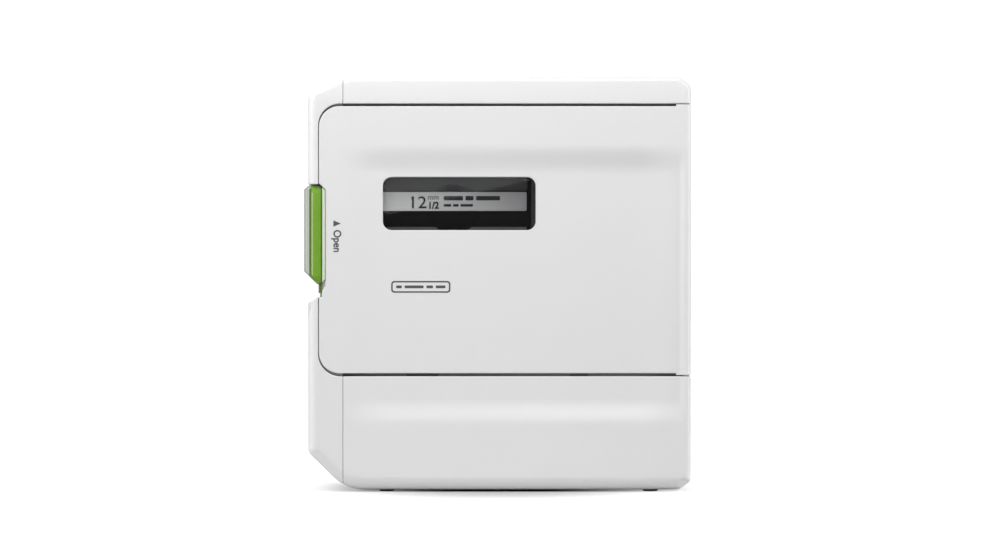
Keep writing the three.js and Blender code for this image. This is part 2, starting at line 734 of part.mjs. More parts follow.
const CARTRIDGE_SPLIT = -20;
const cartridgeShell = cartridge();
const LABEL = { x0: -48, x1: 9.5, z0: 90.1, z1: 96.2 };
add(
  "cartridge_base",
  cartridgeShell.intersect(box([-60, 40], [CARTRIDGE_SPLIT + GAP / 2, 0], [0, 140])),
  black,
);
const labelBed = box(
  [LABEL.x0 - GAP, LABEL.x1 + GAP],
  [-40, CARTRIDGE.front + 0.6],
  [LABEL.z0 - GAP, LABEL.z1 + GAP],
);
add(
  "cartridge_lid",
  cut(
    cartridgeShell.intersect(box([-60, 40], [-40, CARTRIDGE_SPLIT - GAP / 2], [0, 140])),
    labelBed,
    tube("y", ROLL.x, ROLL.z, 13.4, 12.8, -40, CARTRIDGE.front + 0.35, 32),
  ),
  black,
);
add(
  "cartridge_label",
  box([LABEL.x0, LABEL.x1], [CARTRIDGE.front, CARTRIDGE.front + 0.3], [LABEL.z0, LABEL.z1]),
  { color: 0xb4b6b6, roughness: 0.6 },
);
const spoolGap = 0.3;
add(
  "tape_roll",
  tube("y", ROLL.x, ROLL.z, ROLL.r, ROLL.core + spoolGap, TAPE.y0, TAPE.y1, 40),
  { color: 0xf2f1ec, roughness: 0.6 },
);
add(
  "tape_core",
  union(
    tube("y", ROLL.x, ROLL.z, ROLL.core, 8.6, TAPE.y0 - 1, TAPE.y1 + 1, 28),
    tube("y", ROLL.x, ROLL.z, 3.2, 1.7, TAPE.y0 - 1, TAPE.y1 + 1, 16),
    ...[0, 60, 120].map((degrees) => {
      const spoke = box([-8.8, 8.8], [-19.9, -19.1], [-0.5, 0.5]);
      return spoke.rotate([0, degrees, 0]).translate([ROLL.x, 0, ROLL.z]);
    }),
  ).subtract(rod("y", ROLL.x, ROLL.z, 1.7, -40, 0, 16)),
  gearWhite,
);
function tapeStrip() {
  const bend = -20;
  const { z, sheet } = TAPE;
  const path = rounded([
    [-55, z, 0],
    [bend, z, 0],
    [-7, z + 6.26, 0],
    [-7.13, z + 6.26 + sheet - 0.03, 0],
    [bend - 0.07, z + sheet, 0],
    [-55, z + sheet, 0],
  ]);
  return prism("y", path, TAPE.y0, TAPE.y1);
}
add("tape_strip", tapeStrip(), { color: 0xf2f1ec, roughness: 0.6 });
add(
  "platen_roller",
  tube("y", PLATEN.x, PLATEN.z, PLATEN.r - 0.1, 1.7, -26.4, -12.4, 24),
  { color: 0x2a2b2d, roughness: 0.9 },
);
function spool({ x, z }, r, bore) {
  return cut(
    union(
      rod("y", x, z, r * 0.7, -26.5, -12.5, 20),
      rod("y", x, z, r, -26.5, -25.9, 20),
      rod("y", x, z, r, -13.1, -12.5, 20),
    ),
    rod("y", x, z, bore, -40, 0, 12),
  );
}
add("ribbon_take_up", spool(ribbonAt, 5, 1.5), { color: 0x4a4d52, roughness: 0.5 });
add("ribbon_supply", spool(SUPPLY, SUPPLY.r, 1.5), { color: 0x4a4d52, roughness: 0.5 });

// ---------------------------------------------------------------- tape cutter
function cutterLever() {
  const outline = rounded([
    [-61.9, 70.7, 0],
    [-57.7, 66.6, 0],
    [-56.5, 66.5, 0],
    [-55.24, 68.1, 0],
    [-55.24, 96.6, 0],
    [-56.7, 98.1, 0],
    [-60.3, 98.1, 0],
    [-61.9, 96.9, 0],
  ]);
  const body = prism("y", outline, LEVER.front, LEVER.back);
  const cavity = box([LEVER.cavity, -50], [LEVER.front + 1.1, LEVER.back - 1.1], [71.4, 96.3]);
  const bladeWay = box([-56.1, -50], [BLADES.y0 - GAP, LEVER.back - 1.1], [60, 75]);
  const stemWay = box(
    [STEM.x0 - GAP, STEM.x1 + GAP],
    [STEM.y0 - GAP, STEM.y1 + GAP],
    [60, 75],
  );
  const lugWay = box([-58.3, -50], [LEVER.back - 2, 0], [89.7, 94.3]);
  return cut(body, cavity, bladeWay, stemWay, lugWay);
}

function leverCore() {
  const body = box([LEVER.cavity + GAP, -56.1], [LEVER.front + 1.4, LEVER.back - 1.4], [71.7, 96]);
  const stem = box([STEM.x0, STEM.x1], [STEM.y0, STEM.y1], [STEM.bottom, 72]);
  const lug = box([-58, -54.9], [LEVER.back - 2, ROD.y], [90, 94]);
  const eye = rod("z", ROD.x, ROD.y, 2.2, 90, 94, 16);
  return cut(union(body, stem, lug, eye), rod("z", ROD.x, ROD.y, ROD.r + GAP, 80, 100, 12));
}

const green = { color: 0x7aa53c, roughness: 0.2, transparent: true, opacity: 0.75 };
add("cutter_lever", cutterLever(), { ...green, color: 0xcfd8c0, opacity: 0.4 });
add("lever_core", leverCore(), green);

function blade([x0, x1], z0, z1, ground) {
  const middle = (x0 + x1) / 2;
  const outline = rounded(
    ground > z0
      ? [
          [x0, z0, 0],
          [x1, z0, 0],
          [x1, z1, 0],
          [middle, z1, 0],
          [x0, z1 - 0.9, 0],
        ]
      : [
          [middle, z0, 0],
          [x1, z0, 0],
          [x1, z1, 0],
          [x0, z1, 0],
          [x0, z0 + 0.9, 0],
        ],
  );
  return prism("y", outline, BLADES.y0, BLADES.y1);
}

add("moving_blade", blade(BLADES.moving, 64.4, 78, 64.4), steel);
add("fixed_blade", blade(BLADES.fixed, 57.6, 62.9, 62.9), steel);
add("guide_rod", rod("z", ROD.x, ROD.y, ROD.r, ROD.z0, ROD.z1, 10), steel);
add("return_spring", coil([ROD.x, ROD.y], "z", 1.6, 0.3, 77.9, 89.6, 5), steel);
function cutterGuide() {
  const plate = box([-52.9, -51.9], [-6.9, -2], [76.5, 100]);
  const arms = [76.5, 99].map((z) => box([-57.4, -52], [-6.9, -2], [z, z + 1]));
  return cut(union(plate, ...arms), rod("z", ROD.x, ROD.y, ROD.r + GAP, 70, 110, 12));
}
add("cutter_guide", cutterGuide(), steel);

// ---------------------------------------------------------------- battery bay and boards
function batteryBox() {
  const { x0, x1, y0, y1, z0, z1, wall } = BATTERY_BOX;
  const tub = box([x0, x1], [y0, y1], [z0, z1]);
  const room = box([x0 + wall, x1 - wall], [y0 + wall, y1 + 1], [z0 + wall, z1 - wall]);
  return tub.subtract(room);
}

add("battery_box", batteryBox(), inner);
for (let i = 0; i < CELL.count; i += 1) {
  const x = CELL.mid + (i - (CELL.count - 1) / 2) * CELL.pitch;
  const up = i % 2 === 0;
  const { y, z0, length, nub } = CELL;
  const can = rod("z", x, y, CELL.r, up ? z0 : z0 + nub, z0 + length - (up ? nub : 0), 20);
  const tip = rod("z", x, y, 2.6, up ? z0 + length - 2 * nub : z0, up ? z0 + length : z0 + 2 * nub, 12);
  add(`battery_cell_${i + 1}`, can.add(tip), { color: 0x8d9196, roughness: 0.35, metalness: 0.6 });
}
function contactStrip(z0, z1) {
  const { x0, x1, y0, y1, wall } = BATTERY_BOX;
  return box([x0 + wall + GAP, x1 - wall - GAP], [y0 + wall + GAP, y1 - 1], [z0, z1]);
}
add("contact_strip_lower", contactStrip(10.9, 11.5), steel);
add("contact_strip_upper", contactStrip(66, 66.6), steel);
add("main_board", box([-44, 52], [-20, -18.4], [6, 35]), { color: 0x1f5b3a, roughness: 0.5 });
add("radio_module", box([20, 38], [-23, -20.3], [12, 26]), { color: 0xb9bcc0, roughness: 0.4 });

export default group;
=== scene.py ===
"""The label maker, dressed for rendering: fine shells, lens, lever, print and materials over the frame."""

import json
import math

import bpy
import numpy as np
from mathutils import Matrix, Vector
from mathutils.geometry import delaunay_2d_cdt


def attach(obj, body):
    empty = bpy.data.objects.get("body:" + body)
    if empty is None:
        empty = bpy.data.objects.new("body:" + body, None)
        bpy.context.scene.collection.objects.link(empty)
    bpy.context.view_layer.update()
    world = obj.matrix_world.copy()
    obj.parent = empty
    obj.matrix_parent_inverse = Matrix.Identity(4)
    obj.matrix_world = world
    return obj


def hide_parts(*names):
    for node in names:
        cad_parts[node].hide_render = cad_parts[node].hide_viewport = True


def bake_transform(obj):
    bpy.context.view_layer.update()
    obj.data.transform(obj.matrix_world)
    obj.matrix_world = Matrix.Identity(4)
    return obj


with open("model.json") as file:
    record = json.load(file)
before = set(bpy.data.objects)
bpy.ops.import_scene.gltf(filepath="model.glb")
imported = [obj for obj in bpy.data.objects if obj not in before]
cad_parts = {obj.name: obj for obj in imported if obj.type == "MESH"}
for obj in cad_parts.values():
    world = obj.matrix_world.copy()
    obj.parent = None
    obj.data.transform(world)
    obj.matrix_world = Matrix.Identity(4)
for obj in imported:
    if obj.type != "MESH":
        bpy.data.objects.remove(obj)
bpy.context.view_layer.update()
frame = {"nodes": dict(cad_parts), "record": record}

# ---------------------------------------------------------------- sizes, in millimetres
MM = 0.001
LEFT, RIGHT = -60.7, 62.1
FRONT, BACK = -36.2, 36.5
BOTTOM, TOP = 0.64, 133.0
CAP_EDGE, CASE_EDGE = -49.5, -49.39
WALL = 2.0
SOFT = 0.28  # rounding of moulded edges

DOOR = {"left": -57.16, "bottom": 38.0, "top": 123.6, "corner": 6.6, "flange": -24.6}
OPENING = {"left": -57.4, "bottom": 37.0, "top": 124.5, "corner": 7.1}
WINDOW = {"x0": -36.65, "x1": 12.35, "z0": 83.9, "z1": 100.9, "r": 2.8}
HINGE = {"x": 60.3, "y": -22.4}  # the upright axis of the door
CASE_FORM = [(-48.5, BOTTOM, 14.8), (58.3, BOTTOM, 2.5), (RIGHT, 3.4, 1.6), (RIGHT, 130.1, 2.4)]
CASE_FORM += [(58.5, TOP, 2.5), (-49.0, TOP, 21.7), (LEFT, 127.7, 3.2), (LEFT, 12.5, 3.2)]
GUIDE = (-55.5, -4.5)  # x and y of the rod that the cutter lever slides on
LEVER_WAY = (60.4, 98.6)  # lowest and highest z of the lever's notch
FOOT_X = (-35.5, 49.25)
FOOT_Y = (-25.0, 25.0)
SCREWS = [(-42, 122), (54, 122), (54.5, 12), (-45.6, 12)]  # x and z of each case screw


# ---------------------------------------------------------------- plane outlines
def unit(v):
    return v / np.linalg.norm(v)


def corner_arc(before, here, after, r):
    u, v = unit(before - here), unit(after - here)
    half = math.acos(np.clip(u @ v, -1, 1)) / 2
    centre = here + unit(u + v) * r / math.sin(half)
    start, end = here + u * r / math.tan(half), here + v * r / math.tan(half)
    a0 = math.atan2(*(start - centre)[::-1])
    a1 = math.atan2(*(end - centre)[::-1])
    turn = (a1 - a0 + math.pi) % (2 * math.pi) - math.pi
    return centre, a0, turn, start, end


def outline(corners, degrees=7.5):
    """A closed polyline from (u, v, radius) corners, anticlockwise."""
    points = []
    for i, (u, v, r) in enumerate(corners):
        here = np.array([u, v])
        if r <= 0:
            points.append(here)
            continue
        before = np.array(corners[i - 1][:2])
        after = np.array(corners[(i + 1) % len(corners)][:2])
        centre, a0, turn, _, _ = corner_arc(before, here, after, r)
        steps = max(2, math.ceil(abs(math.degrees(turn)) / degrees))
        angles = a0 + turn * np.arange(steps + 1) / steps
        points += [centre + r * np.array([math.cos(a), math.sin(a)]) for a in angles]
    return np.array(points)


def box_outline(u0, u1, v0, v1, r):
    return outline([(u0, v0, r), (u1, v0, r), (u1, v1, r), (u0, v1, r)])


def ring(u, v, r, count=40):
    a = 2 * math.pi * np.arange(count) / count
    return np.stack([u + r * np.cos(a), v + r * np.sin(a)], 1)


class CaseForm:
    """The case seen from the front: straight sides and arcs, with the nearest point found exactly."""

    def __init__(self, corners):
        self.arcs, self.lines = [], []
        made = []
        for i, (u, v, r) in enumerate(corners):
            before = np.array(corners[i - 1][:2])
            after = np.array(corners[(i + 1) % len(corners)][:2])
            made.append((corner_arc(before, np.array([u, v]), after, r), r))
        for i, ((centre, a0, turn, _, end), r) in enumerate(made):
            self.arcs.append((centre, r, a0, turn))
            start = made[(i + 1) % len(made)][0][3]
            self.lines.append((end, start))

    def nearest(self, q):
        best = np.full(len(q), np.inf)
        p, n = np.zeros_like(q), np.zeros_like(q)
        for a, b in self.lines:
            along = b - a
            t = np.clip((q - a) @ along / (along @ along), 0, 1)
            foot = a + t[:, None] * along
            d = np.linalg.norm(q - foot, axis=1)
            near = d < best
            best[near], p[near] = d[near], foot[near]
            n[near] = unit(np.array([along[1], -along[0]]))
        for centre, r, a0, turn in self.arcs:
            away = q - centre
            length = np.linalg.norm(away, axis=1)
            angle = (np.arctan2(away[:, 1], away[:, 0]) - a0) % (2 * math.pi)
            d = np.where(angle <= turn, abs(length - r), np.inf)
            near = d < best
            direction = away[near] / np.maximum(length[near], 1e-9)[:, None]
            best[near], n[near] = d[near], direction
            p[near] = centre + r * direction
        return p, n, np.sum((q - p) * n, axis=1)

    def samples(self, spacing=3.0, degrees=5.0):
        points, normals = [], []
        for (a, b), (centre, r, a0, turn) in zip(self.lines, self.arcs):
            steps = max(1, math.ceil(math.degrees(turn) / degrees))
            for angle in a0 + turn * np.arange(steps + 1) / steps:
                direction = np.array([math.cos(angle), math.sin(angle)])
                points.append(centre + r * direction)
                normals.append(direction)
            count = max(1, math.ceil(np.linalg.norm(b - a) / spacing))
            for t in np.arange(1, count) / count:
                points.append(a + (b - a) * t)
                normals.append(unit(np.array([(b - a)[1], -(b - a)[0]])))
        return np.array(points), np.array(normals)


FORM = CaseForm(CASE_FORM)


def smooth(t):
    t = np.clip(t, 0, 1)
    return t * t * (3 - 2 * t)


def scoop_depth(x, z):
    """How far the front face is set in: soft at the left, a firm step at the right."""
    across = smooth((x + 52) / 17) * (1.35 + 0.65 * smooth((x + 40) / 90))
    across = across * (1 - 0.55 * smooth((x - 45) / 12)) * (1 - smooth((x - 58.0) / 3.0))
    up = smooth((z - 21.8) / 7.4) * (1 - smooth((z - 102.3) / 8.6))
    return across * up


def crown_depth(z):
    """The top strip leans back a little towards its upper edge."""
    return 1.4 * smooth((z - 123.8) / 16)


def plate_depth(x, z):
    """Shallow hollows in the back: one for the rating plate, one for a thumb on the battery cover."""
    across = smooth((x + 18) / 0.6) * (1 - smooth((x - 29.4) / 0.6))
    plate = 0.35 * across * smooth((z - 86) / 0.6) * (1 - smooth((z - 107.4) / 0.6))
    thumb = smooth((x + 5.6) / 1.6) * (1 - smooth((x - 11.6) / 1.6))
    thumb = thumb * smooth((z - 60.6) / 1.2) * (1 - smooth((z - 65.8) / 2.4))
    return plate + 0.9 * thumb


# rounding of the front edge on each side, and of the whole back edge
EDGE_RADII = {"up": 1.5, "down": 4.4, "left": 3.2, "right": 1.8}
BACK_ROUND = 4.0
NOTCH_ROUND = 3.5  # the lever's notch is laid out for a slightly larger rounding than the left edge has


def edge_radius(n, back):
    if back:
        return np.full(len(n), BACK_ROUND)
    nx, nz = n[:, 0], n[:, 1]
    up, down = np.maximum(nz, 0) ** 2, np.maximum(-nz, 0) ** 2
    left, right = np.maximum(-nx, 0) ** 2, np.maximum(nx, 0) ** 2
    shares = {"up": up, "down": down, "left": left, "right": right}
    return sum(EDGE_RADII[side] * share for side, share in shares.items())


def surface(q, back=False):
    """The case's skin laid flat: q is (x, z) on the face and carries on round its edge and down its sides."""
    p, n, s = FORM.nearest(q)
    r = edge_radius(n, back)
    w = s + r
    a = np.clip(w / r, 0, math.pi / 2)
    flat = w <= 0
    xz = np.where(flat[:, None], q, p - n * (r * (1 - np.sin(a)))[:, None])
    inward = r * (1 - np.cos(a)) + np.maximum(w - r * math.pi / 2, 0)
    sign = -1.0 if back else 1.0
    depth_of = plate_depth if back else scoop_depth
    h = 0.05
    x, z = xz[:, 0], xz[:, 1]
    depth = depth_of(x, z)
    slope_x = (depth_of(x + h, z) - depth_of(x - h, z)) / (2 * h)
    slope_z = (depth_of(x, z + h) - depth_of(x, z - h)) / (2 * h)
    sin, cos = np.sin(a), np.cos(a)
    if not back:
        depth = depth + crown_depth(z) * cos
        slope_z = slope_z + (crown_depth(z + h) - crown_depth(z - h)) / (2 * h)
    y = (BACK if back else FRONT) + sign * (inward + depth)
    point = np.stack([x, y, z], 1)
    normal = np.stack([n[:, 0] * sin + slope_x * cos, -sign * cos, n[:, 1] * sin + slope_z * cos], 1)
    normal /= np.linalg.norm(normal, axis=1)[:, None]
    down = np.stack([n[:, 0] * cos, sign * sin, n[:, 1] * cos], 1)
    along = np.stack([-n[:, 1], np.zeros(len(n)), n[:, 0]], 1)
    return point, normal, n, down, along


def depth_in(y, back):
    """How far depth y lies in from the front plane, or from the back plane."""
    return (BACK - y) if back else (y - FRONT)


def unroll(p, n, y, back=False):
    """Layout place of a point of the side wall at depth y, off outline point p with normal n."""
    r = edge_radius(n, back)
    inward = depth_in(y, back)
    return p + n * (inward - r + r * math.pi / 2 - r)[:, None]


# ---------------------------------------------------------------- moulded sheets
def densify(loop, form_back):
    """Short steps where the loop crosses a rounded edge, longer ones on flat ground."""
    points = []
    for i, a in enumerate(loop):
        b = loop[(i + 1) % len(loop)]
        length = np.linalg.norm(b - a)
        fine = max(1, math.ceil(length / 0.5))
        t = np.arange(fine) / fine
        steps = a + (b - a) * t[:, None]
        _, n, s = FORM.nearest(steps)
        w = s + edge_radius(n, form_back)
        curved = (w > -0.6) & (w < 8.5)
        keep = curved | (np.arange(fine) % 4 == 0)
        points += list(steps[keep])
    return np.array(points)


def edges_of(loops):
    a = np.concatenate(loops)
    b = np.concatenate([np.roll(loop, -1, axis=0) for loop in loops])
    return a, b


def rim_distance(q, a, b):
    """Distance to the nearest rim edge and the way out to it."""
    ab = b - a
    length2 = np.maximum(np.sum(ab * ab, 1), 1e-12)
    best = np.full(len(q), np.inf)
    out = np.zeros_like(q)
    normal = np.stack([ab[:, 1], -ab[:, 0]], 1) / np.sqrt(length2)[:, None]
    for start in range(0, len(q), 2000):
        part = q[start : start + 2000]
        t = np.clip(np.einsum("ijk,jk->ij", part[:, None] - a[None], ab) / length2, 0, 1)
        foot = a[None] + t[..., None] * ab[None]
        d = np.linalg.norm(part[:, None] - foot, axis=2)
        j = d.argmin(1)
        i = np.arange(len(part))
        best[start : start + 2000] = d[i, j]
        away = foot[i, j] - part
        on_rim = d[i, j] < 1e-5
        away[on_rim] = normal[j[on_rim]]
        out[start : start + 2000] = away / np.linalg.norm(away, axis=1)[:, None]
    return best, out


def inside(q, loops):
    result = np.zeros(len(q), bool)
    for loop in loops:
        a, b = loop, np.roll(loop, -1, axis=0)
        for (x0, y0), (x1, y1) in zip(a, b):
            if y0 == y1:
                continue
            crosses = (y0 > q[:, 1]) != (y1 > q[:, 1])
            at = x0 + (q[:, 1] - y0) * (x1 - x0) / (y1 - y0)
            result ^= crosses & (q[:, 0] < at)
    return result


def ring_in(loop, d, skip):
    """The loop moved d into the material; a corner on an open edge slides along that edge."""
    before, after = np.roll(loop, 1, axis=0), np.roll(loop, -1, axis=0)
    e0, e1 = loop - before, after - loop
    n0 = np.stack([-e0[:, 1], e0[:, 0]], 1) / np.maximum(np.linalg.norm(e0, axis=1), 1e-9)[:, None]
    n1 = np.stack([-e1[:, 1], e1[:, 0]], 1) / np.maximum(np.linalg.norm(e1, axis=1), 1e-9)[:, None]
    open0, open1 = np.roll(skip, 1), skip
    n0 = np.where(open0[:, None], n1, n0)
    n1 = np.where(open1[:, None], n0, n1)
    middle = n0 + n1
    length = np.maximum(np.linalg.norm(middle, axis=1), 1e-9)
    middle /= length[:, None]
    cos = np.clip(np.sum(middle * n0, 1), 0.5, 1)
    moved = loop + middle * (d / cos)[:, None]
    return moved, ~(open0 & open1)


def oriented(loop, hole=False):
    loop = np.array(loop)
    nxt = np.roll(loop, -1, axis=0)
    area = np.sum(loop[:, 0] * nxt[:, 1] - loop[:, 1] * nxt[:, 0])
    return loop[::-1] if (area < 0) != hole else loop


def inset(loop, d):
    return ring_in(np.array(loop, float), d, np.zeros(len(loop), bool))[0]


class Mould:
    """Collects faces with their own corner normals, welds them, and makes one mesh object."""

    def __init__(self):
        self.corners, self.normals, self.faces = [], [], []

    def face(self, points, normals):
        base = len(self.corners)
        self.corners += list(points)
        self.normals += list(normals)
        self.faces.append(list(range(base, base + len(points))))

    def flat(self, points):
        """One flat face, left out where it has no area."""
        normal = sum(np.cross(points[i - 1], points[i]) for i in range(len(points)))
        if np.linalg.norm(normal) > 1e-9:
            self.face(points, [unit(normal)] * len(points))

    def faces_from(self, triangles, points, normals):
        base = len(self.corners)
        self.corners += list(points[triangles.ravel()])
        self.normals += list(normals[triangles.ravel()])
        self.faces += (base + np.arange(triangles.size).reshape(triangles.shape)).tolist()

    def build(self, name, look):
        corners = np.array(self.corners)
        keys = np.round(corners, 3)
        _, first, index = np.unique(keys, axis=0, return_index=True, return_inverse=True)
        index = index.ravel()
        faces, normals = [], []
        for face in self.faces:
            ids = [int(index[i]) for i in face]
            kept = [k for k in range(len(ids)) if ids[k] != ids[k - 1]]
            if len(kept) > 2 and len({ids[k] for k in kept}) == len(kept):
                faces.append([ids[k] for k in kept])
                normals += [self.normals[face[k]] for k in kept]
        mesh = bpy.data.meshes.new(name)
        mesh.from_pydata((corners[first] * MM).tolist(), [], faces)
        mesh.shade_smooth()
        mesh.normals_split_custom_set([tuple(n) for n in normals])
        mesh.materials.append(look)
        obj = bpy.data.objects.new(name, mesh)
        bpy.context.scene.collection.objects.link(obj)
        return obj


def add_sheet(mould, loop, holes=(), back=False, open_at=None, extra=None):
    """One moulded wall: its outer skin with rounded rims, its inner skin, and the rims between them."""
    loops = [oriented(loop)] + [oriented(hole, True) for hole in holes]
    loops = [densify(loop, back) for loop in loops]
    rim_a, rim_b = [], []
    points, edges = [], []
    for loop in loops:
        nxt = np.roll(loop, -1, axis=0)
        middle = (loop + nxt) / 2
        skip = open_at(middle) if open_at else np.zeros(len(loop), bool)
        rim_a.append(loop[~skip])
        rim_b.append(nxt[~skip])
        base = len(points)
        points += list(loop)
        edges += [(base + i, base + (i + 1) % len(loop)) for i in range(len(loop))]
        for share in (0.134, 0.5, 1.0):
            moved, valid = ring_in(loop, SOFT * share, skip)
            base = len(points)
            index = {}
            for i in np.flatnonzero(valid):
                index[i] = base + len(index)
                points.append(moved[i])
            edges += [
                (index[i], index[(i + 1) % len(loop)])
                for i in index
                if (i + 1) % len(loop) in index and not skip[i]
            ]
    rim_a, rim_b = np.concatenate(rim_a), np.concatenate(rim_b)

    p, n = FORM.samples()
    r = edge_radius(n, back)
    rows = [p + n * (share * r * math.pi / 2 - r)[:, None] for share in np.linspace(0, 1, 7)]
    rows += [p + n * (r * math.pi / 2 - r + deep)[:, None] for deep in (3, 9, 18, 27, 36)]
    filler = np.concatenate(rows + ([extra] if extra is not None else []))
    filler = filler[inside(filler, loops)]
    a, b = edges_of(loops)
    d, _ = rim_distance(filler, a, b)
    filler = filler[d > SOFT + 0.25]
    everything = np.array(points + list(filler))
    cdt = delaunay_2d_cdt([Vector(v) for v in everything], edges, [], 0, 1e-5)
    q = np.array([tuple(v) for v in cdt[0]])
    triangles = np.array(cdt[2])
    centres = q[triangles].mean(1)
    triangles = triangles[inside(centres, loops)]
    u, v = q[triangles[:, 1]] - q[triangles[:, 0]], q[triangles[:, 2]] - q[triangles[:, 0]]
    area = u[:, 0] * v[:, 1] - u[:, 1] * v[:, 0]
    triangles = triangles[abs(area) > 1e-7]
    flip = area[abs(area) > 1e-7] < 0
    triangles[flip] = triangles[flip][:, ::-1]

    point, normal, n2, down, along = surface(q, back)
    d, out = rim_distance(q, rim_a, rim_b)
    tangent = np.stack([-n2[:, 1], n2[:, 0]], 1)
    outward = np.sum(out * n2, 1)[:, None] * down + np.sum(out * tangent, 1)[:, None] * along
    outward /= np.maximum(np.linalg.norm(outward, axis=1), 1e-9)[:, None]
    part = np.clip(1 - d / SOFT, 0, 1)
    drop = SOFT * (1 - np.sqrt(1 - part**2))
    skin = point - normal * drop[:, None]
    skin_normal = normal * np.sqrt(1 - part**2)[:, None] + outward * part[:, None]
    lining = point - normal * WALL
    if back:
        triangles = triangles[:, ::-1]
    mould.faces_from(triangles, skin, skin_normal)
    mould.faces_from(triangles[:, ::-1], lining, -normal)

    border = {}
    for tri in triangles:
        for i in range(3):
            edge = (int(tri[i]), int(tri[(i + 1) % 3]))
            if border.pop(edge[::-1], None) is None:
                border[edge] = True
    border = np.array(list(border))
    middle = q[border].mean(1)
    if open_at:
        border = border[~open_at(middle)]
    for i, j in border:
        mould.face(
            [skin[j], skin[i], lining[i], lining[j]],
            [outward[j], outward[i], outward[i], outward[j]],
        )


def sheet(name, look, loop, holes=(), **how):
    mould = Mould()
    add_sheet(mould, loop, holes, **how)
    return mould.build(name, look)


def along_plane(x, ys, top, back=False):
    """Layout points on the plane at x, over the rounded edge and down the top or bottom wall."""
    side = 1.0 if top else -1.0
    result = []
    for y in ys:
        lo, hi = x - 12.0, x + 12.0
        for _ in range(40):
            mid = (lo + hi) / 2
            q = layout_point(mid, y, side, back)
            point = surface(q[None], back)[0][0]
            if point[0] < x:
                lo = mid
            else:
                hi = mid
        result.append(layout_point((lo + hi) / 2, y, side, back))
    return np.array(result)


def layout_point(seed_x, y, side, back):
    """Layout point over the outline point nearest (seed_x, far above or below), at depth y."""
    seed = np.array([[seed_x, TOP + 3.0 if side > 0 else BOTTOM - 3.0]])
    p, n, _ = FORM.nearest(seed)
    r = edge_radius(n, back)
    inward = depth_in(y, back)
    w = np.where(
        inward < r,
        r * np.arccos(np.clip(1 - inward / r, -1, 1)),
        inward - r + r * math.pi / 2,
    )
    return (p + n * (w - r)[:, None])[0]


def grid(x0, x1, z0, z1, step):
    xs = np.arange(x0, x1 + step / 2, step)
    zs = np.arange(z0, z1 + step / 2, step)
    return np.array([(x, z) for x in xs for z in zs])


# extra layout points where the front face curves
SCOOP_GRID = np.concatenate(
    [
        grid(-53, 57, 101.6, 111.6, 1.25),
        grid(-53, 57, 21, 30, 1.25),
        grid(-53, 57, 32, 100, 4.0),
        grid(58.0, 61.25, 21, 111.6, 0.65),
    ]
)


def right_x(y):
    """Layout x of a point on the right side wall at depth y."""
    r = EDGE_RADII["right"]
    return RIGHT - r + r * math.pi / 2 + (y - FRONT - r)


def level(on_top, y):
    """Layout z of a point on the top wall, or else the bottom wall, at depth y."""
    r = EDGE_RADII["up"] if on_top else EDGE_RADII["down"]
    reach = r * math.pi / 2 - r + (y - FRONT - r)
    return TOP + reach if on_top else BOTTOM - reach


# ---------------------------------------------------------------- plain solids
def loft(mould, stations):
    """A closed solid through rings of points: flat faces between the rings and at both ends."""
    for a, b in zip(stations[:-1], stations[1:]):
        for i in range(len(a)):
            j = (i + 1) % len(a)
            mould.flat([a[i], a[j], b[j], b[i]])
    mould.flat(stations[0][::-1])
    mould.flat(stations[-1])


def lofted(name, look, stations):
    mould = Mould()
    loft(mould, stations)
    return mould.build(name, look)


def at_depth(shape, y):
    """A plane (x, z) outline set at depth y."""
    return np.stack([shape[:, 0], np.full(len(shape), float(y)), shape[:, 1]], 1)


def settle(obj, body, *nodes):
    """Puts a piece on its body, in the place of the CAD nodes named."""
    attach(obj, body)
    if nodes:
        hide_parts(*nodes)
    return obj


def soften(obj, width, degrees):
    """Rounds the edges that bend by more than the angle given."""
    rounding = obj.modifiers.new("rounding", "BEVEL")
    rounding.width = width * MM
    rounding.segments = 2
    rounding.limit_method = "ANGLE"
    rounding.angle_limit = math.radians(degrees)
    rounding.harden_normals = True


def lathe(name, body, look, profile, centre, axis, count=64, replaces=()):
    """A turned part from (radius, along) points, end to end; bends over 35 degrees stay sharp."""
    angles = 2 * math.pi * np.arange(count) / count
    spans = list(zip(profile[:-1], profile[1:]))
    slopes = [unit(np.array([a1 - a0, r0 - r1])) for (r0, a0), (r1, a1) in spans]
    mould = Mould()

    def on_axis(along, out, angle, origin=(0.0, 0.0)):
        u, v = origin[0] + out * math.cos(angle), origin[1] + out * math.sin(angle)
        return np.array({"x": (along, u, v), "y": (u, along, v), "z": (u, v, along)}[axis])

    def joined(k, other):
        if not 0 <= other < len(slopes):
            return slopes[k]
        bend = slopes[k] @ slopes[other]
        return unit(slopes[k] + slopes[other]) if bend > 0.82 else slopes[k]

    for k, ((r0, a0), (r1, a1)) in enumerate(spans):
        low, high = joined(k, k - 1), joined(k, k + 1)
        for t0, t1 in zip(angles, np.roll(angles, -1)):
            path = [(r0, a0, t0, low), (r0, a0, t1, low), (r1, a1, t1, high), (r1, a1, t0, high)]
            if min(r0, r1) < 1e-6:
                del path[1 if r0 < r1 else 3]
            if axis == "y":
                path = path[::-1]
            corners = [on_axis(a, r, t, centre) for r, a, t, _ in path]
            mould.face(corners, [on_axis(slope[1], slope[0], t) for _, _, t, slope in path])
    return settle(mould.build(name, look), body, *replaces)


# ---------------------------------------------------------------- materials
LOOKS = {}


def add_node(tree, kind, values=()):
    made = tree.nodes.new("ShaderNode" + kind)
    for name, value in dict(values).items():
        made.inputs[name].default_value = value
    return made


def connect(tree, *wires):
    for start, output, end, socket in wires:
        tree.links.new(start.outputs[output], end.inputs[socket])


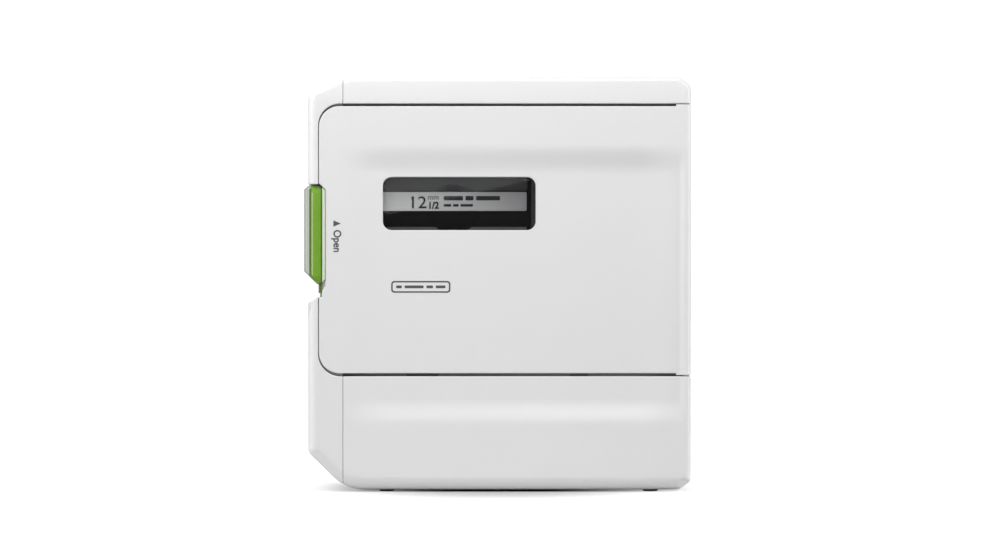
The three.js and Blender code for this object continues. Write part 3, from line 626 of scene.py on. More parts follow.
def material(
    name, colour, roughness=0.5, metallic=0.0, grain=1200.0, relief=0.02, tint=0.03,
    rough_spread=0.06, alpha=1.0, ior=1.5,
):
    """A plastic, metal or rubber: broad uneven tint and gloss, and a fine grain as relief."""
    made = bpy.data.materials.new(name)
    made.use_nodes = True
    tree = made.node_tree
    shader = tree.nodes["Principled BSDF"]
    for socket, value in (("Metallic", metallic), ("IOR", ior), ("Alpha", alpha)):
        shader.inputs[socket].default_value = value
    darker = (*[c * (1 - tint) for c in colour], 1)
    lighter = (*[min(c * (1 + tint), 1) for c in colour], 1)
    smoother, rougher = max(roughness - rough_spread, 0.01), roughness + rough_spread
    place = add_node(tree, "TexCoord")
    fine = add_node(tree, "TexNoise", {"Scale": grain, "Detail": 3.0})
    broad = add_node(tree, "TexNoise", {"Scale": 38.0, "Detail": 4.0})
    shade = add_node(tree, "MixRGB", {"Color1": darker, "Color2": lighter})
    spread = add_node(tree, "MapRange", {"To Min": smoother, "To Max": rougher})
    bump = add_node(tree, "Bump", {"Strength": relief, "Distance": 0.0002})
    connect(
        tree,
        (place, "Object", fine, "Vector"),
        (place, "Object", broad, "Vector"),
        (broad, "Fac", shade, "Fac"),
        (shade, "Color", shader, "Base Color"),
        (broad, "Fac", spread, "Value"),
        (spread, "Result", shader, "Roughness"),
        (fine, "Fac", bump, "Height"),
        (bump, "Normal", shader, "Normal"),
    )
    LOOKS[name] = made
    return made


def painted_shade_ramp(made, from_x, to_x, left, right):
    """Painted shade along the object: the base colour runs evenly from one colour at from_x to another at
    to_x; on the label it stands for light falling off across the window.
    """
    tree = made.node_tree
    place = next(each for each in tree.nodes if each.type == "TEX_COORD")
    apart = add_node(tree, "SeparateXYZ")
    along = add_node(tree, "MapRange", {"From Min": from_x * MM, "From Max": to_x * MM})
    blend = add_node(tree, "MixRGB", {"Color1": (*left, 1), "Color2": (*right, 1)})
    connect(
        tree,
        (place, "Object", apart, "Vector"),
        (apart, "X", along, "Value"),
        (along, "Result", blend, "Fac"),
        (blend, "Color", tree.nodes["Principled BSDF"], "Base Color"),
    )


WHITE = material("case_white", (0.80, 0.80, 0.805), 0.42, relief=0.05, tint=0.008, grain=2600)
DOOR_WHITE = material("door_white", (0.80, 0.80, 0.805), 0.40, relief=0.05, tint=0.008, grain=2600)
SMOKE = material("window_smoke", (0.012, 0.012, 0.014), 0.0, relief=0.0, rough_spread=0.004, alpha=0.11)
CLEAR = material(
    "lever_clear", (0.13, 0.21, 0.05), 0.08, relief=0.01, rough_spread=0.03, alpha=0.36, ior=1.25
)
GREEN = material("lever_green", (0.345, 0.73, 0.052), 0.12, relief=0.03, tint=0.12, grain=300, ior=1.25)
# dark see-through rim: painted shade on the front chamfers of the clear lever
CLEAR_PAINTED_SHADE_RIM = material(
    "lever_clear_rim", (0.03, 0.035, 0.03), 0.1, relief=0.01, rough_spread=0.03, alpha=0.55, ior=1.25
)
STEEL = material("pin_steel", (0.56, 0.57, 0.59), 0.28, 1.0, relief=0.06, tint=0.06)
material("sheet_steel", (0.5, 0.52, 0.54), 0.38, 1.0, relief=0.08, tint=0.08, grain=500)
material("blade_steel", (0.64, 0.65, 0.67), 0.2, 1.0, relief=0.08, tint=0.05, grain=3000)
BUTTON = material("button_grey", (0.56, 0.58, 0.6), 0.33, relief=0.03, tint=0.02)
LIGHT = material("light_ring", (0.42, 0.66, 0.3), 0.3, relief=0.03, tint=0.04)
material("board_green", (0.02, 0.1, 0.05), 0.4, relief=0.2, tint=0.3, grain=420)
material("shield_can", (0.58, 0.59, 0.6), 0.32, 1.0, relief=0.05, tint=0.05)
BLACK = material("socket_black", (0.02, 0.02, 0.022), 0.45, relief=0.1, tint=0.2)
RUBBER = material("foot_rubber", (0.03, 0.03, 0.031), 0.8, relief=0.3, tint=0.2, grain=1800)
INNER_GREY_AND_GAP_SHADE = material("inner_grey", (0.10, 0.104, 0.11), 0.55, relief=0.2, tint=0.1, grain=2200)
material("gear_ivory", (0.7, 0.67, 0.58), 0.4, relief=0.05, tint=0.05)
material("pinion_brass", (0.66, 0.49, 0.22), 0.3, 1.0, relief=0.05, tint=0.06)
material("motor_can", (0.55, 0.56, 0.57), 0.3, 1.0, relief=0.05, tint=0.07)
material("head_ceramic", (0.62, 0.58, 0.5), 0.25, relief=0.05, tint=0.05)
material("sink_alloy", (0.7, 0.71, 0.72), 0.4, 1.0, relief=0.12, tint=0.06, grain=700)
material("cartridge_black", (0.008, 0.008, 0.0085), 0.5, relief=0.12, tint=0.15, ior=1.15)
LABEL_PAINTED_SHADE = material("label_silver", (0.8, 0.81, 0.81), 0.5, relief=0.04, tint=0.04, grain=1500)
material("tape_white", (0.8, 0.79, 0.76), 0.5, relief=0.05, tint=0.02)
material("roller_rubber", (0.02, 0.02, 0.022), 0.85, relief=0.3, tint=0.2)
material("ribbon_dark", (0.05, 0.055, 0.065), 0.35, relief=0.1, tint=0.2)
material("cell_wrap", (0.12, 0.14, 0.16), 0.3, relief=0.04, tint=0.08)
INK = material("print_grey", (0.085, 0.085, 0.09), 0.5, relief=0.02, tint=0.05)
PRINT = material("print_black", (0.012, 0.012, 0.012), 0.5, relief=0.02, tint=0.05)
CARTRIDGE_DARK = material("hub_black", (0.007, 0.007, 0.0075), 0.5, relief=0.08, tint=0.1, ior=1.15)
LID = material("lid_grey", (0.032, 0.032, 0.033), 0.4, relief=0.1, tint=0.1)
EDGE = material("label_edge_grey", (0.12, 0.12, 0.12), 0.5, relief=0.04, tint=0.04)
# the next two greens are copies of the lever green: a darker one as painted shade on the left facet and on
# the stem, a light one as a painted highlight stripe
GREEN_PAINTED_SHADE = material("lever_green_deep", (0.15, 0.25, 0.05), 0.12, relief=0.03, tint=0.1, grain=300)
GREEN_PAINTED_HIGHLIGHT = material("lever_green_light", (0.75, 1.0, 0.42), 0.12, relief=0.03, tint=0.1, grain=300)
GREEN_PALE = material("lever_pale", (0.66, 0.75, 0.57), 0.2, relief=0.03, tint=0.06, grain=300)
RIM_PAINTED_SHADE = material("rim_grey", (0.3, 0.3, 0.305), 0.5, relief=0.05, tint=0.03)
PLATE = material("plate_grey", (0.55, 0.56, 0.57), 0.45, relief=0.04, tint=0.02)

# painted shade: the label is painted light at its left end and dark at its right, for the fall of light
# across the window
painted_shade_ramp(LABEL_PAINTED_SHADE, -36.6, 12.3, (0.88, 0.89, 0.89), (0.36, 0.36, 0.37))

slots = {entry["node"]: entry["material_slot"] for entry in frame["record"]["subparts"]}
for node, obj in frame["nodes"].items():
    obj.data.materials.clear()
    obj.data.materials.append(LOOKS[slots[node]])


# ---------------------------------------------------------------- outer shells
# depths down a rounded edge, as shares of its radius
ROUND_STEPS = [(1 - math.cos(a)) for a in np.linspace(0, math.pi / 2, 7)]


def seam_down(x, top, start_z, end_y, back=False):
    """Rim points from (x, start_z) on the face, over the rounded edge and along the wall to depth end_y."""
    r = 4.0 if (top or back) else 5.0
    base = BACK if back else FRONT
    sign = -1 if back else 1
    ys = [base + sign * r * step for step in ROUND_STEPS]
    ys += list(np.linspace(base + sign * (r + 1.0), end_y, 6))
    return np.vstack([[(x, start_z)], along_plane(x, ys, top, back)])


def wall_curve(x, depth_y, back=False):
    """Layout points at one depth round the case to the right of the plane at x, from the bottom up."""
    p, n = FORM.samples()
    keep = p[:, 0] > x + 0.6
    p, n = p[keep], n[keep]
    order = np.argsort(np.arctan2(p[:, 1] - 66, p[:, 0]))
    return unroll(p[order], n[order], depth_y, back)


def stadium(u, v, width, length):
    return box_outline(u - width / 2, u + width / 2, v - length / 2, v + length / 2, width / 2 - 0.01)


def build_front_case():
    seam_y = 9.85
    top = seam_down(CASE_EDGE, True, OPENING["top"], seam_y)
    bottom = seam_down(CASE_EDGE, False, OPENING["bottom"], seam_y)
    rim = wall_curve(CASE_EDGE, seam_y)
    hinge_x, jamb_x = right_x(-19.9), right_x(-22.9)
    doorway = [(hinge_x, OPENING["bottom"]), (hinge_x, 50.3), (jamb_x, 50.3)]
    doorway += [(jamb_x, 111.3), (hinge_x, 111.3), (hinge_x, OPENING["top"])]
    loop = np.vstack([top, rim[::-1], bottom[::-1], doorway])
    holes = [ring(-30.0, level(True, -8.0), 7.6, 56)]
    holes += [stadium(x, level(False, FOOT_Y[0]), 5.5, 11.6) for x in FOOT_X]
    return sheet("front_shell", WHITE, loop, holes, extra=SCOOP_GRID)


def build_rear_case():
    seam_y = 10.15
    top = seam_down(CASE_EDGE, True, 100.0, seam_y, back=True)
    bottom = seam_down(CASE_EDGE, False, 30.0, seam_y, back=True)
    rim = wall_curve(CASE_EDGE, seam_y, back=True)
    loop = np.vstack([top, rim[::-1], bottom[::-1]])
    wrap = 2 * math.pi - 8
    holes = [box_outline(-42.3, 49.9, 8.8, 72.4, 3.4)]
    holes += [ring(RIGHT + wrap + (BACK - 22), 22.0, 4.9)]
    holes += [ring(x, z, 3.0, 32) for x, z in SCREWS]
    holes += [stadium(x, BOTTOM - wrap - (BACK - FOOT_Y[1]), 5.5, 11.6) for x in FOOT_X]
    grids = [grid(-19, 30.4, z - 1, z + 1, 0.35) for z in (86.3, 107.7)]
    grids += [grid(x - 1, x + 1, 85, 109, 0.35) for x in (-17.7, 29.7)]
    return sheet("rear_shell", WHITE, loop, holes, back=True, extra=np.concatenate(grids))


# finger groove in the left side: x of its floor, heights of the floor's edges, slopes of its walls
GROOVE = {"floor": -57.6, "z0": 62.5, "z1": 71.0, "low": 0.677, "high": 8.6 / 8.1}


def groove_low(x):
    return GROOVE["z0"] + (x - GROOVE["floor"]) * GROOVE["low"]


def groove_high(x):
    return GROOVE["z1"] - (x - GROOVE["floor"]) * GROOVE["high"]


def left_curve(depth_y, back=False, low=-math.inf, high=math.inf):
    """Layout points at one depth round the left of the end cap's seam, from the bottom up."""
    p, n = FORM.samples()
    keep = (p[:, 0] < CAP_EDGE - 0.6) & (p[:, 1] > low) & (p[:, 1] < high)
    points = unroll(p[keep], n[keep], depth_y, back)
    angle = np.arctan2(points[:, 1] - 70.0, points[:, 0] + 40.0) % (2 * math.pi)
    return points[np.argsort(-angle)]


def left_layout(y, z, back=False):
    """Layout point on the left side's rounded edge or wall at depth y."""
    r = BACK_ROUND if back else NOTCH_ROUND
    inward = depth_in(y, back)
    if inward < r:
        w = r * math.acos(1 - inward / r)
    else:
        w = inward - r + r * math.pi / 2
    return (LEFT - (w - r), z)


def left_x(y, back=False):
    r = BACK_ROUND if back else NOTCH_ROUND
    inward = min(depth_in(y, back), r)
    return LEFT + r * (1 - math.sin(math.acos(1 - inward / r)))


def build_end_cap():
    join_y = 0.0
    mould = Mould()

    def on_join(q):
        return abs(surface(q)[0][:, 1] - join_y) < 0.15

    def on_join_back(q):
        return abs(surface(q, True)[0][:, 1] - join_y) < 0.15

    doorway_low = outline(
        [
            (OPENING["left"], OPENING["bottom"], OPENING["corner"]),
            (-20.0, OPENING["bottom"], 0),
            (-20.0, 80.0, 0),
            (OPENING["left"], 80.0, 0),
        ]
    )
    arc_low = doorway_low[(doorway_low[:, 0] < -50) & (doorway_low[:, 1] < 50)]
    arc_high = arc_low.copy()
    arc_high[:, 1] = OPENING["top"] + OPENING["bottom"] - arc_low[:, 1]
    edge_ys = [FRONT + NOTCH_ROUND * step for step in ROUND_STEPS] + [-31.0, -25.0, -17.0, -9.0]

    ledge = [(OPENING["left"], groove_low(OPENING["left"]))]
    ledge += [left_layout(y, groove_low(left_x(y))) for y in edge_ys + [-4.0, join_y]]
    bottom = seam_down(CAP_EDGE, False, OPENING["bottom"], join_y)
    low_curve = left_curve(join_y, high=groove_low(LEFT) - 0.8)
    low_corner = arc_low[np.argsort(-arc_low[:, 1])]
    add_sheet(mould, np.vstack([bottom, low_curve, ledge[::-1], low_corner]), open_at=on_join)

    top = seam_down(CAP_EDGE, True, OPENING["top"], join_y)
    high_curve = left_curve(join_y, low=groove_high(LEFT) + 0.8)[::-1]
    notch = [left_layout(join_y, groove_high(LEFT)), left_layout(-8.0, groove_high(LEFT))]
    notch += [left_layout(y, LEVER_WAY[1]) for y in [-8.0] + edge_ys[::-1]]
    notch += [(OPENING["left"], LEVER_WAY[1])]
    high_corner = arc_high[np.argsort(arc_high[:, 1])]
    add_sheet(mould, np.vstack([top, high_curve, notch, high_corner]), open_at=on_join)

    angles = np.linspace(0.08, math.pi / 2, 12)
    round_ys = [BACK - BACK_ROUND * (1 - math.sin(math.pi / 2 - a)) for a in angles]
    round_ys = sorted(y for y in round_ys if left_x(y, True) < GROOVE["floor"] - 0.1)
    inset_share = (GROOVE["floor"] - LEFT) / BACK_ROUND
    last = BACK - BACK_ROUND * (1 - math.cos(math.asin(1 - inset_share)))
    ys = [join_y, 9.0, 18.0, 27.0, 32.4] + [y for y in round_ys if y > 32.5] + [last]
    upper = [left_layout(y, groove_high(left_x(y, True)), True) for y in ys]
    lower = [left_layout(y, groove_low(left_x(y, True)), True) for y in ys]
    top = seam_down(CAP_EDGE, True, 100.0, join_y, back=True)
    bottom = seam_down(CAP_EDGE, False, 30.0, join_y, back=True)
    high_curve = left_curve(join_y, back=True, low=groove_high(LEFT) + 0.8)[::-1]
    low_curve = left_curve(join_y, back=True, high=groove_low(LEFT) - 0.8)[::-1]
    loop = np.vstack([top, high_curve, upper, lower[::-1], low_curve, bottom[::-1]])
    add_sheet(mould, loop, back=True, open_at=on_join_back)
    return mould.build("end_cap_shell", WHITE)


def build_door():
    left, low, high, corner = (DOOR[key] for key in ("left", "bottom", "top", "corner"))
    edge_x, ear = right_x(DOOR["flange"]), 57.4
    loop = [(left, low, corner), (ear, low, 0), (ear, low - 0.6, 0), (edge_x, low - 0.6, 0.5)]
    loop += [(edge_x, high + 0.6, 0.5), (ear, high + 0.6, 0), (ear, high, 0), (left, high, corner)]
    loop += [(left, 98.8, 0.3), (-56.45, 98.25, 0.3), (-55.08, 96.85, 0.3), (-55.08, 66.0, 0.3)]
    loop += [(-56.1, 64.4, 0.3), (-56.1, 62.5, 0.2), (left, 62.3, 0.2)]
    w = WINDOW
    hole = box_outline(w["x0"], w["x1"], w["z0"], w["z1"], w["r"])
    return sheet("door_shell", DOOR_WHITE, outline(loop), [hole], extra=SCOOP_GRID)


def build_lens():
    """The lens: a flat clear plate with softened edges, set flush in the scooped door."""
    w, gap = WINDOW, 0.22
    shape = box_outline(w["x0"] + gap, w["x1"] - gap, w["z0"] + gap, w["z1"] - gap, w["r"] - gap)
    front = FRONT + float(scoop_depth(np.array([-12.0]), np.array([92.0]))[0]) + 0.05
    layers = ((1.4, 0.0), (0.22, 0.0), (0.07, 0.08), (0.0, 0.22))
    return lofted("window_lens", SMOKE, [at_depth(inset(shape, d), front + y) for y, d in layers])


def build_cell_cover():
    loop = box_outline(-41.9, 49.5, 9.2, 72.0, 3.0)
    slits = [box_outline(x, x + 1.0, 63.0, 71.2, 0.3) for x in (-7.8, 14.4)]
    thumb_grid = grid(-6.6, 14.2, 59.5, 69.5, 0.6)
    return sheet("cell_cover_shell", WHITE, loop, slits, back=True, extra=thumb_grid)


shells = {
    "front_case": (build_front_case(), "housing"),
    "rear_case": (build_rear_case(), "housing"),
    "left_end_cap": (build_end_cap(), "housing"),
    "cartridge_door": (build_door(), "door"),
    "door_window": (build_lens(), "door"),
    "battery_cover": (build_cell_cover(), "cell_cover"),
}
for node, (shell, body) in shells.items():
    settle(shell, body, node)


# ---------------------------------------------------------------- pieces behind and beside the shells
def channel():
    """The finger groove's sloping walls behind the cutter lever, following the rounded back edge."""
    mould = Mould()
    stations = []
    ys = [-8.0, 0.0, 10.0, 20.0, 30.0, 32.5] + [32.5 + 0.45 * k for k in range(1, 7)]
    for y in ys:
        x = min(left_x(y, True) + 0.3, GROOVE["floor"] - 0.1)
        outer = [(x, groove_low(x)), (GROOVE["floor"], GROOVE["z0"])]
        outer += [(GROOVE["floor"], GROOVE["z1"]), (x, groove_high(x))]
        inner = [(x, groove_high(x) + 2.0), (-56.0, GROOVE["z1"] + 0.6)]
        inner += [(-56.0, GROOVE["z0"] - 0.8), (x, groove_low(x) - 2.0)]
        stations.append(at_depth(np.array(outer + inner), y))
    loft(mould, stations)
    out, into = -60.4, -58.2
    foot = groove_low(out)
    ledge = np.array([(out, foot), (out, foot - 2), (into, foot - 2), (into, groove_low(into))])
    loft(mould, [at_depth(ledge, -8.0), at_depth(ledge, -35.2)])
    front = np.array([(into, 60.2), (-57.5, 60.2), (-57.5, groove_low(-57.5)), (into, groove_low(into))])
    loft(mould, [at_depth(front[::-1], -34.5), at_depth(front[::-1], -35.2)])
    return mould.build("groove_walls", WHITE)


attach(channel(), "housing")


def door_rim(name, look, from_x, to_x, sides=(False, True)):
    """Part of the upright wall round the door opening that hides the works behind the gap."""
    mould = Mould()
    front_y, inner_y, corner = -33.4, -25.0, OPENING["corner"]
    centre = (-50.4, OPENING["bottom"] + corner)
    edge = [(x, OPENING["bottom"]) for x in (58.0, -49.4, -49.55, centre[0])]
    for angle in np.linspace(-math.pi / 2, -math.pi, 9)[1:]:
        edge.append((centre[0] + corner * math.cos(angle), centre[1] + corner * math.sin(angle)))
    for upper in sides:
        line = np.array(edge)
        end = LEVER_WAY[1] + 0.2 if upper else LEVER_WAY[0] - 0.2
        if upper:
            line[:, 1] = OPENING["top"] + OPENING["bottom"] - line[:, 1]
        line = np.vstack([line, (OPENING["left"], end)])
        tangent = np.gradient(line, axis=0)
        tangent /= np.linalg.norm(tangent, axis=1)[:, None]
        normal = np.stack([-tangent[:, 1], tangent[:, 0]], 1) * (-1 if upper else 1)
        normal[0] = (0, 1 if upper else -1)
        stations = []
        for a, b in zip(line, line - normal * 1.3):
            if from_x <= a[0] <= to_x:
                corners = [(a[0], front_y, a[1]), (b[0], front_y, b[1])]
                corners += [(b[0], inner_y, b[1]), (a[0], inner_y, a[1])]
                stations.append(np.array(corners))
        loft(mould, stations if upper else stations[::-1])
    settle(mould.build(name, look), "housing")


# painted shade in the gap round the door: the lower rim takes the dark inner grey and the upper rim a mid
# grey, while the cap's rim stays white
door_rim("case_rim_lower", INNER_GREY_AND_GAP_SHADE, -49.4, 58.0, (False,))
door_rim("case_rim_upper", RIM_PAINTED_SHADE, -49.4, 58.0, (True,))
door_rim("cap_rim", WHITE, -58.0, -49.55)


def slab(name, body, look, shape, y0, y1, bevel=0.3, replaces=()):
    """A flat plate in the (x, z) plane from y0 (front) to y1, its front and back rims chamfered."""
    full, less = np.array(shape, float), inset(shape, bevel)
    layers = ((y1, less), (y1 - bevel, full), (y0 + bevel, full), (y0, less))
    plate = lofted(name, look, [at_depth(layer, y) for y, layer in layers])
    return settle(plate, body, *replaces)


def block(name, body, look, xs, ys, zs, bevel=0.25):
    return slab(name, body, look, box_outline(*xs, *zs, bevel), *ys, bevel)


# ---------------------------------------------------------------- flat shapes and print
def flat_shape(loops):
    """Front and back faces and rims of a thin plate with holes, as (u, v, side) points and faces."""
    points = np.concatenate(loops)
    edges, base = [], 0
    for loop in loops:
        edges += [(base + i, base + (i + 1) % len(loop)) for i in range(len(loop))]
        base += len(loop)
    cdt = delaunay_2d_cdt([Vector(v) for v in points], edges, [], 0, 1e-5)
    q = np.array([tuple(v) for v in cdt[0]])
    triangles = np.array(cdt[2])
    triangles = triangles[inside(q[triangles].mean(1), loops)]
    u, v = q[triangles[:, 1]] - q[triangles[:, 0]], q[triangles[:, 2]] - q[triangles[:, 0]]
    flip = u[:, 0] * v[:, 1] - u[:, 1] * v[:, 0] < 0
    triangles[flip] = triangles[flip][:, ::-1]
    n = len(q)
    vertices = np.vstack([np.c_[q, np.ones(n)], np.c_[q, -np.ones(n)]])
    faces = [tuple(t) for t in triangles] + [tuple(t[::-1] + n) for t in triangles]
    sides = {(int(t[i]), int(t[(i + 1) % 3])) for t in triangles for i in range(3)}
    faces += [(j, i, i + n, j + n) for i, j in sides if (j, i) not in sides]
    return vertices, faces


def lettering(word, height, weight=0.03):
    """A word in the plain built-in face as (u, v, side) points and faces, from u = 0, v = 0 at its foot."""
    curve = bpy.data.curves.new("lettering", "FONT")
    curve.body = word
    curve.size = height * 1.37
    curve.extrude = 1.0
    curve.offset = height * weight
    source = bpy.data.objects.new("lettering", curve)
    mesh = bpy.data.meshes.new_from_object(source)
    vertices = np.array([v.co for v in mesh.vertices])
    faces = [tuple(face.vertices) for face in mesh.polygons]
    bpy.data.objects.remove(source)
    return vertices, faces


def lay(mould, flat, at, skin, scale=(1.0, 1.0), turned=False, proud=0.02, sink=0.05):
    """Adds a thin closed patch to a mould, its (u, v) laid on y = skin(x, z) from the point at."""
    vertices, faces = flat
    u, v = vertices[:, 0] * scale[0], vertices[:, 1] * scale[1]
    x, z = (at[0] + v, at[1] - u) if turned else (at[0] + u, at[1] + v)
    y = skin(x, z) + np.where(vertices[:, 2] > 0, -proud, sink)
    points = np.stack([x, y, z], 1)
    for face in faces:
        mould.flat(points[list(face)])


def door_skin(x, z):
    return FRONT + scoop_depth(x, z)


def build_marks():
    open_mark = Mould()
    arrow = flat_shape([np.array([(0, 0), (2.0, 0), (1.0, 2.4)])])
    lay(open_mark, arrow, (-52.5, 87.0), door_skin, turned=True)
    lay(open_mark, lettering("Open", 2.5), (-52.4, 84.0), door_skin, (0.92, 1.0), turned=True)
    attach(open_mark.build("open_mark", INK), "door")

    tape_mark = Mould()
    flats = [[box_outline(0, 19, 0, 3.8, 1.0), box_outline(0.5, 18.5, 0.5, 3.3, 0.6)[::-1]]]
    bars = ((1.6, 3.4), (4.3, 10.4), (11.3, 13.4), (14.3, 17.4))
    flats += [[box_outline(u0, u1, 1.45, 2.35, 0.2)] for u0, u1 in bars]
    for loops in flats:
        lay(tape_mark, flat_shape(loops), (-34.0, 63.8), door_skin)
    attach(tape_mark.build("tape_mark", INK), "door")


build_marks()


# ---------------------------------------------------------------- cartridge behind the window
# the pale label strip seen through the window; y is its front face
STRIP = {"x0": -48.0, "x1": 9.5, "z0": 90.1, "z1": 96.2, "y": -29.75}


def build_label():
    x0, x1, z0, z1, y = (STRIP[key] for key in ("x0", "x1", "z0", "z1", "y"))
    shape = box_outline(x0, x1, z0, z1, 0.5)
    slab("label_sheet", "housing", LABEL_PAINTED_SHADE, shape, y, y + 0.65, 0.05, ["cartridge_label"])
    ink = Mould()

    def ground(x, _):
        return np.full(len(x), y)

    lay(ink, lettering("12", 4.0, 0.012), (-28.6, 91.0), ground, (1.1, 1.0))
    # the slanting stroke at the head of the figure one
    flag = np.array([(-27.75, 94.0), (-26.85, 94.3), (-26.85, 94.75), (-27.75, 94.4)])
    lay(ink, flat_shape([flag]), (0.0, 0.0), ground)
    lay(ink, lettering("mm", 1.7, 0.02), (-22.3, 93.75), ground)
    lay(ink, lettering("1/2", 2.2, 0.06), (-22.3, 90.9), ground, (0.92, 1.0))
    bars = [(a, b, 93.5, 1.4, 0.3) for a, b in ((-17.2, -11.0), (-10.2, -7.6), (-6.8, 0.9))]
    bars += [(a, b, 91.5, 0.8, 0.2) for a, b in ((-17.2, -14.8), (-14.2, -12.4), (-11.8, -7.8))]
    for left, right, foot, height, r in bars:
        lay(ink, flat_shape([box_outline(0, right - left, 0, height, r)]), (left, foot), ground)
    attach(ink.build("label_print", PRINT), "housing")
    low = box_outline(x0, x1, 82.6, 84.95, 0.3)
    slab("label_edge", "housing", EDGE, low, -29.68, -29.3, 0.05)


def build_lid():
    """The hub boss pressed into the cartridge lid, in two parts above and below the label."""
    centre, r = (-14.0, 90.6), 8.1
    disc = ring(*centre, r, 96)
    upper = disc[disc[:, 1] > STRIP["z1"] + 0.15]
    lower = disc[disc[:, 1] < STRIP["z0"] - 0.15]
    for name, part in (("hub_boss_upper", upper), ("hub_boss_lower", lower)):
        order = np.argsort(np.arctan2(part[:, 1] - part[:, 1].mean(), part[:, 0] - part[:, 0].mean()))
        slab(name, "housing", CARTRIDGE_DARK, oriented(part[order]), -29.7, -29.2, 0.12)
    upper_face = box_outline(-51.0, 9.7, 96.6, 114.6, 1.2)
    slab("lid_panel", "housing", LID, upper_face, -29.62, -29.3, 0.1)


build_label()
build_lid()


def build_lens_frame():
    w = WINDOW
    outer = box_outline(w["x0"] - 2, w["x1"] + 2, w["z0"] - 2, w["z1"] + 2, 3.4)
    inner = box_outline(w["x0"] - 0.4, w["x1"] - 1.4, w["z0"] - 0.3, w["z1"] + 0.1, w["r"] - 1.2)
    mould = Mould()

    def behind(x, _):
        return np.full(len(x), -33.0)

    lay(mould, flat_shape([outer, inner[::-1]]), (0.0, 0.0), behind, proud=0.0, sink=1.2)
    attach(mould.build("lens_frame", BLACK), "door")


build_lens_frame()


# ---------------------------------------------------------------- cutter lever
def build_lever_core():
    """The green core: a long crystal with a ridge down its front, its ends cut on a slope."""

    def section(z, x0, x1, front, back):
        share = (x1 - x0) / 4.2
        plan = [(x0, front + 1.5 * share), (x0 + 0.75 * share, front + 0.45 * share)]
        plan += [(x0 + 1.25 * share, front), (x1 - 0.5 * share, front + 0.12 * share)]
        plan += [(x1, front + 0.42 * share), (x1, back), (x0, back)]
        return np.array([(x, y, z) for x, y in plan])

    stations = [
        section(66.8, -57.75, -56.4, -35.1, -9.6),
        section(68.0, -59.0, -56.15, -35.9, -9.0),
        section(69.35, -60.3, -56.1, -36.2, -8.7),
        section(95.9, -60.3, -56.1, -36.2, -8.7),
        section(97.2, -60.25, -56.3, -35.5, -9.2),
        section(97.9, -59.9, -56.9, -34.6, -10.0),
    ]
    core = lofted("lever_core_green", GREEN, stations)
    core.data.materials.append(GREEN_PAINTED_SHADE)
    core.data.materials.append(GREEN_PAINTED_HIGHLIGHT)
    # painted shade and highlight: the front's left slope takes the darker green, the narrow facet beside it
    # the light green as a highlight stripe
    for face in core.data.polygons:
        if abs(face.normal.z) < 0.3 and face.normal.y < -0.15 and face.normal.x < -0.1:
            face.material_index = 1 if face.center.x < -59.55 * MM else 2
    settle(core, "lever", "lever_core")
    block("lever_stem", "lever", GREEN_PAINTED_SHADE, (-57.35, -56.4), (-34.05, -31.0), (63.7, 67.6), 0.18)
    rail = inset(oriented([(-56.1, 67.05), (-55.24, 68.1), (-55.24, 96.7), (-56.1, 97.6)]), 0.01)
    slab("lever_rail", "lever", GREEN_PALE, rail, -36.45, -8.4, 0.16)
    block("lever_lug", "lever", GREEN, (-58.0, -55.4), (-9.2, -4.6), (90.0, 94.0), 0.3)
    bore = [(2.2, 90.0), (2.2, 94.0), (1.0, 94.0), (1.0, 90.0), (2.2, 90.0)]
    lathe("lever_eye", "lever", GREEN, bore, GUIDE, "z", 40)


def build_lever_clear():
    low = [(-61.9, 70.7), (-57.75, 66.55), (-56.5, 66.5), (-56.08, 67.0)]
    high = [(-56.08, 97.6), (-56.7, 98.25), (-60.3, 98.25), (-61.9, 96.9)]
    shape = oriented(low + high)
    layers = ((-8.3, 0.45), (-8.75, 0.0), (-36.05, 0.0), (-36.5, 0.45))
    clear = lofted("lever_clear_body", CLEAR, [at_depth(inset(shape, d), y) for y, d in layers])
    soften(clear, 0.15, 25)
    clear.data.materials.append(CLEAR_PAINTED_SHADE_RIM)
    # painted shade: the sloping chamfers round the clear body's front take the dark see-through rim
    for face in clear.data.polygons:
        if -0.95 < face.normal.y < -0.2:
            face.material_index = 1
    settle(clear, "lever", "cutter_lever")


build_lever_core()
build_lever_clear()


def build_spring():
    """The return spring on the guide rod, built at one length, though the real one shortens as the lever
    comes down.
    """
    turns, wire, radius, steps, sides = 5.0, 0.3, 1.6, 180, 10
    z0, z1 = 77.9, 89.6
    upright = np.array([0, 0, 1.0])
    mould = Mould()
    rings = []
    for k in range(steps + 1):
        t = k / steps
        angle = 2 * math.pi * turns * t
        out = np.array([math.cos(angle), math.sin(angle), 0.0])
        centre = np.array([*GUIDE, z0 + wire + (z1 - z0 - 2 * wire) * t]) + out * radius
        round_wire = 2 * math.pi * np.arange(sides) / sides
        side = [centre + wire * (math.cos(b) * out + math.sin(b) * upright) for b in round_wire]
        rings.append((centre, np.array(side)))
    for (c0, a), (c1, b) in zip(rings[:-1], rings[1:]):
        for i in range(sides):
            j = (i + 1) % sides
            corners = [a[j], a[i], b[i], b[j]]
            mould.face(corners, [unit(p - c) for p, c in zip(corners, (c0, c0, c1, c1))])
    end_normal = unit(np.cross(rings[0][0] - np.array([*GUIDE, z0]), upright))
    for (_, points), order in ((rings[0], 1), (rings[-1], -1)):
        mould.face(points[::order], [-end_normal * order] * sides)
    spring = mould.build("lever_spring", STEEL)
    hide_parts("return_spring")
    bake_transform(spring)


build_spring()


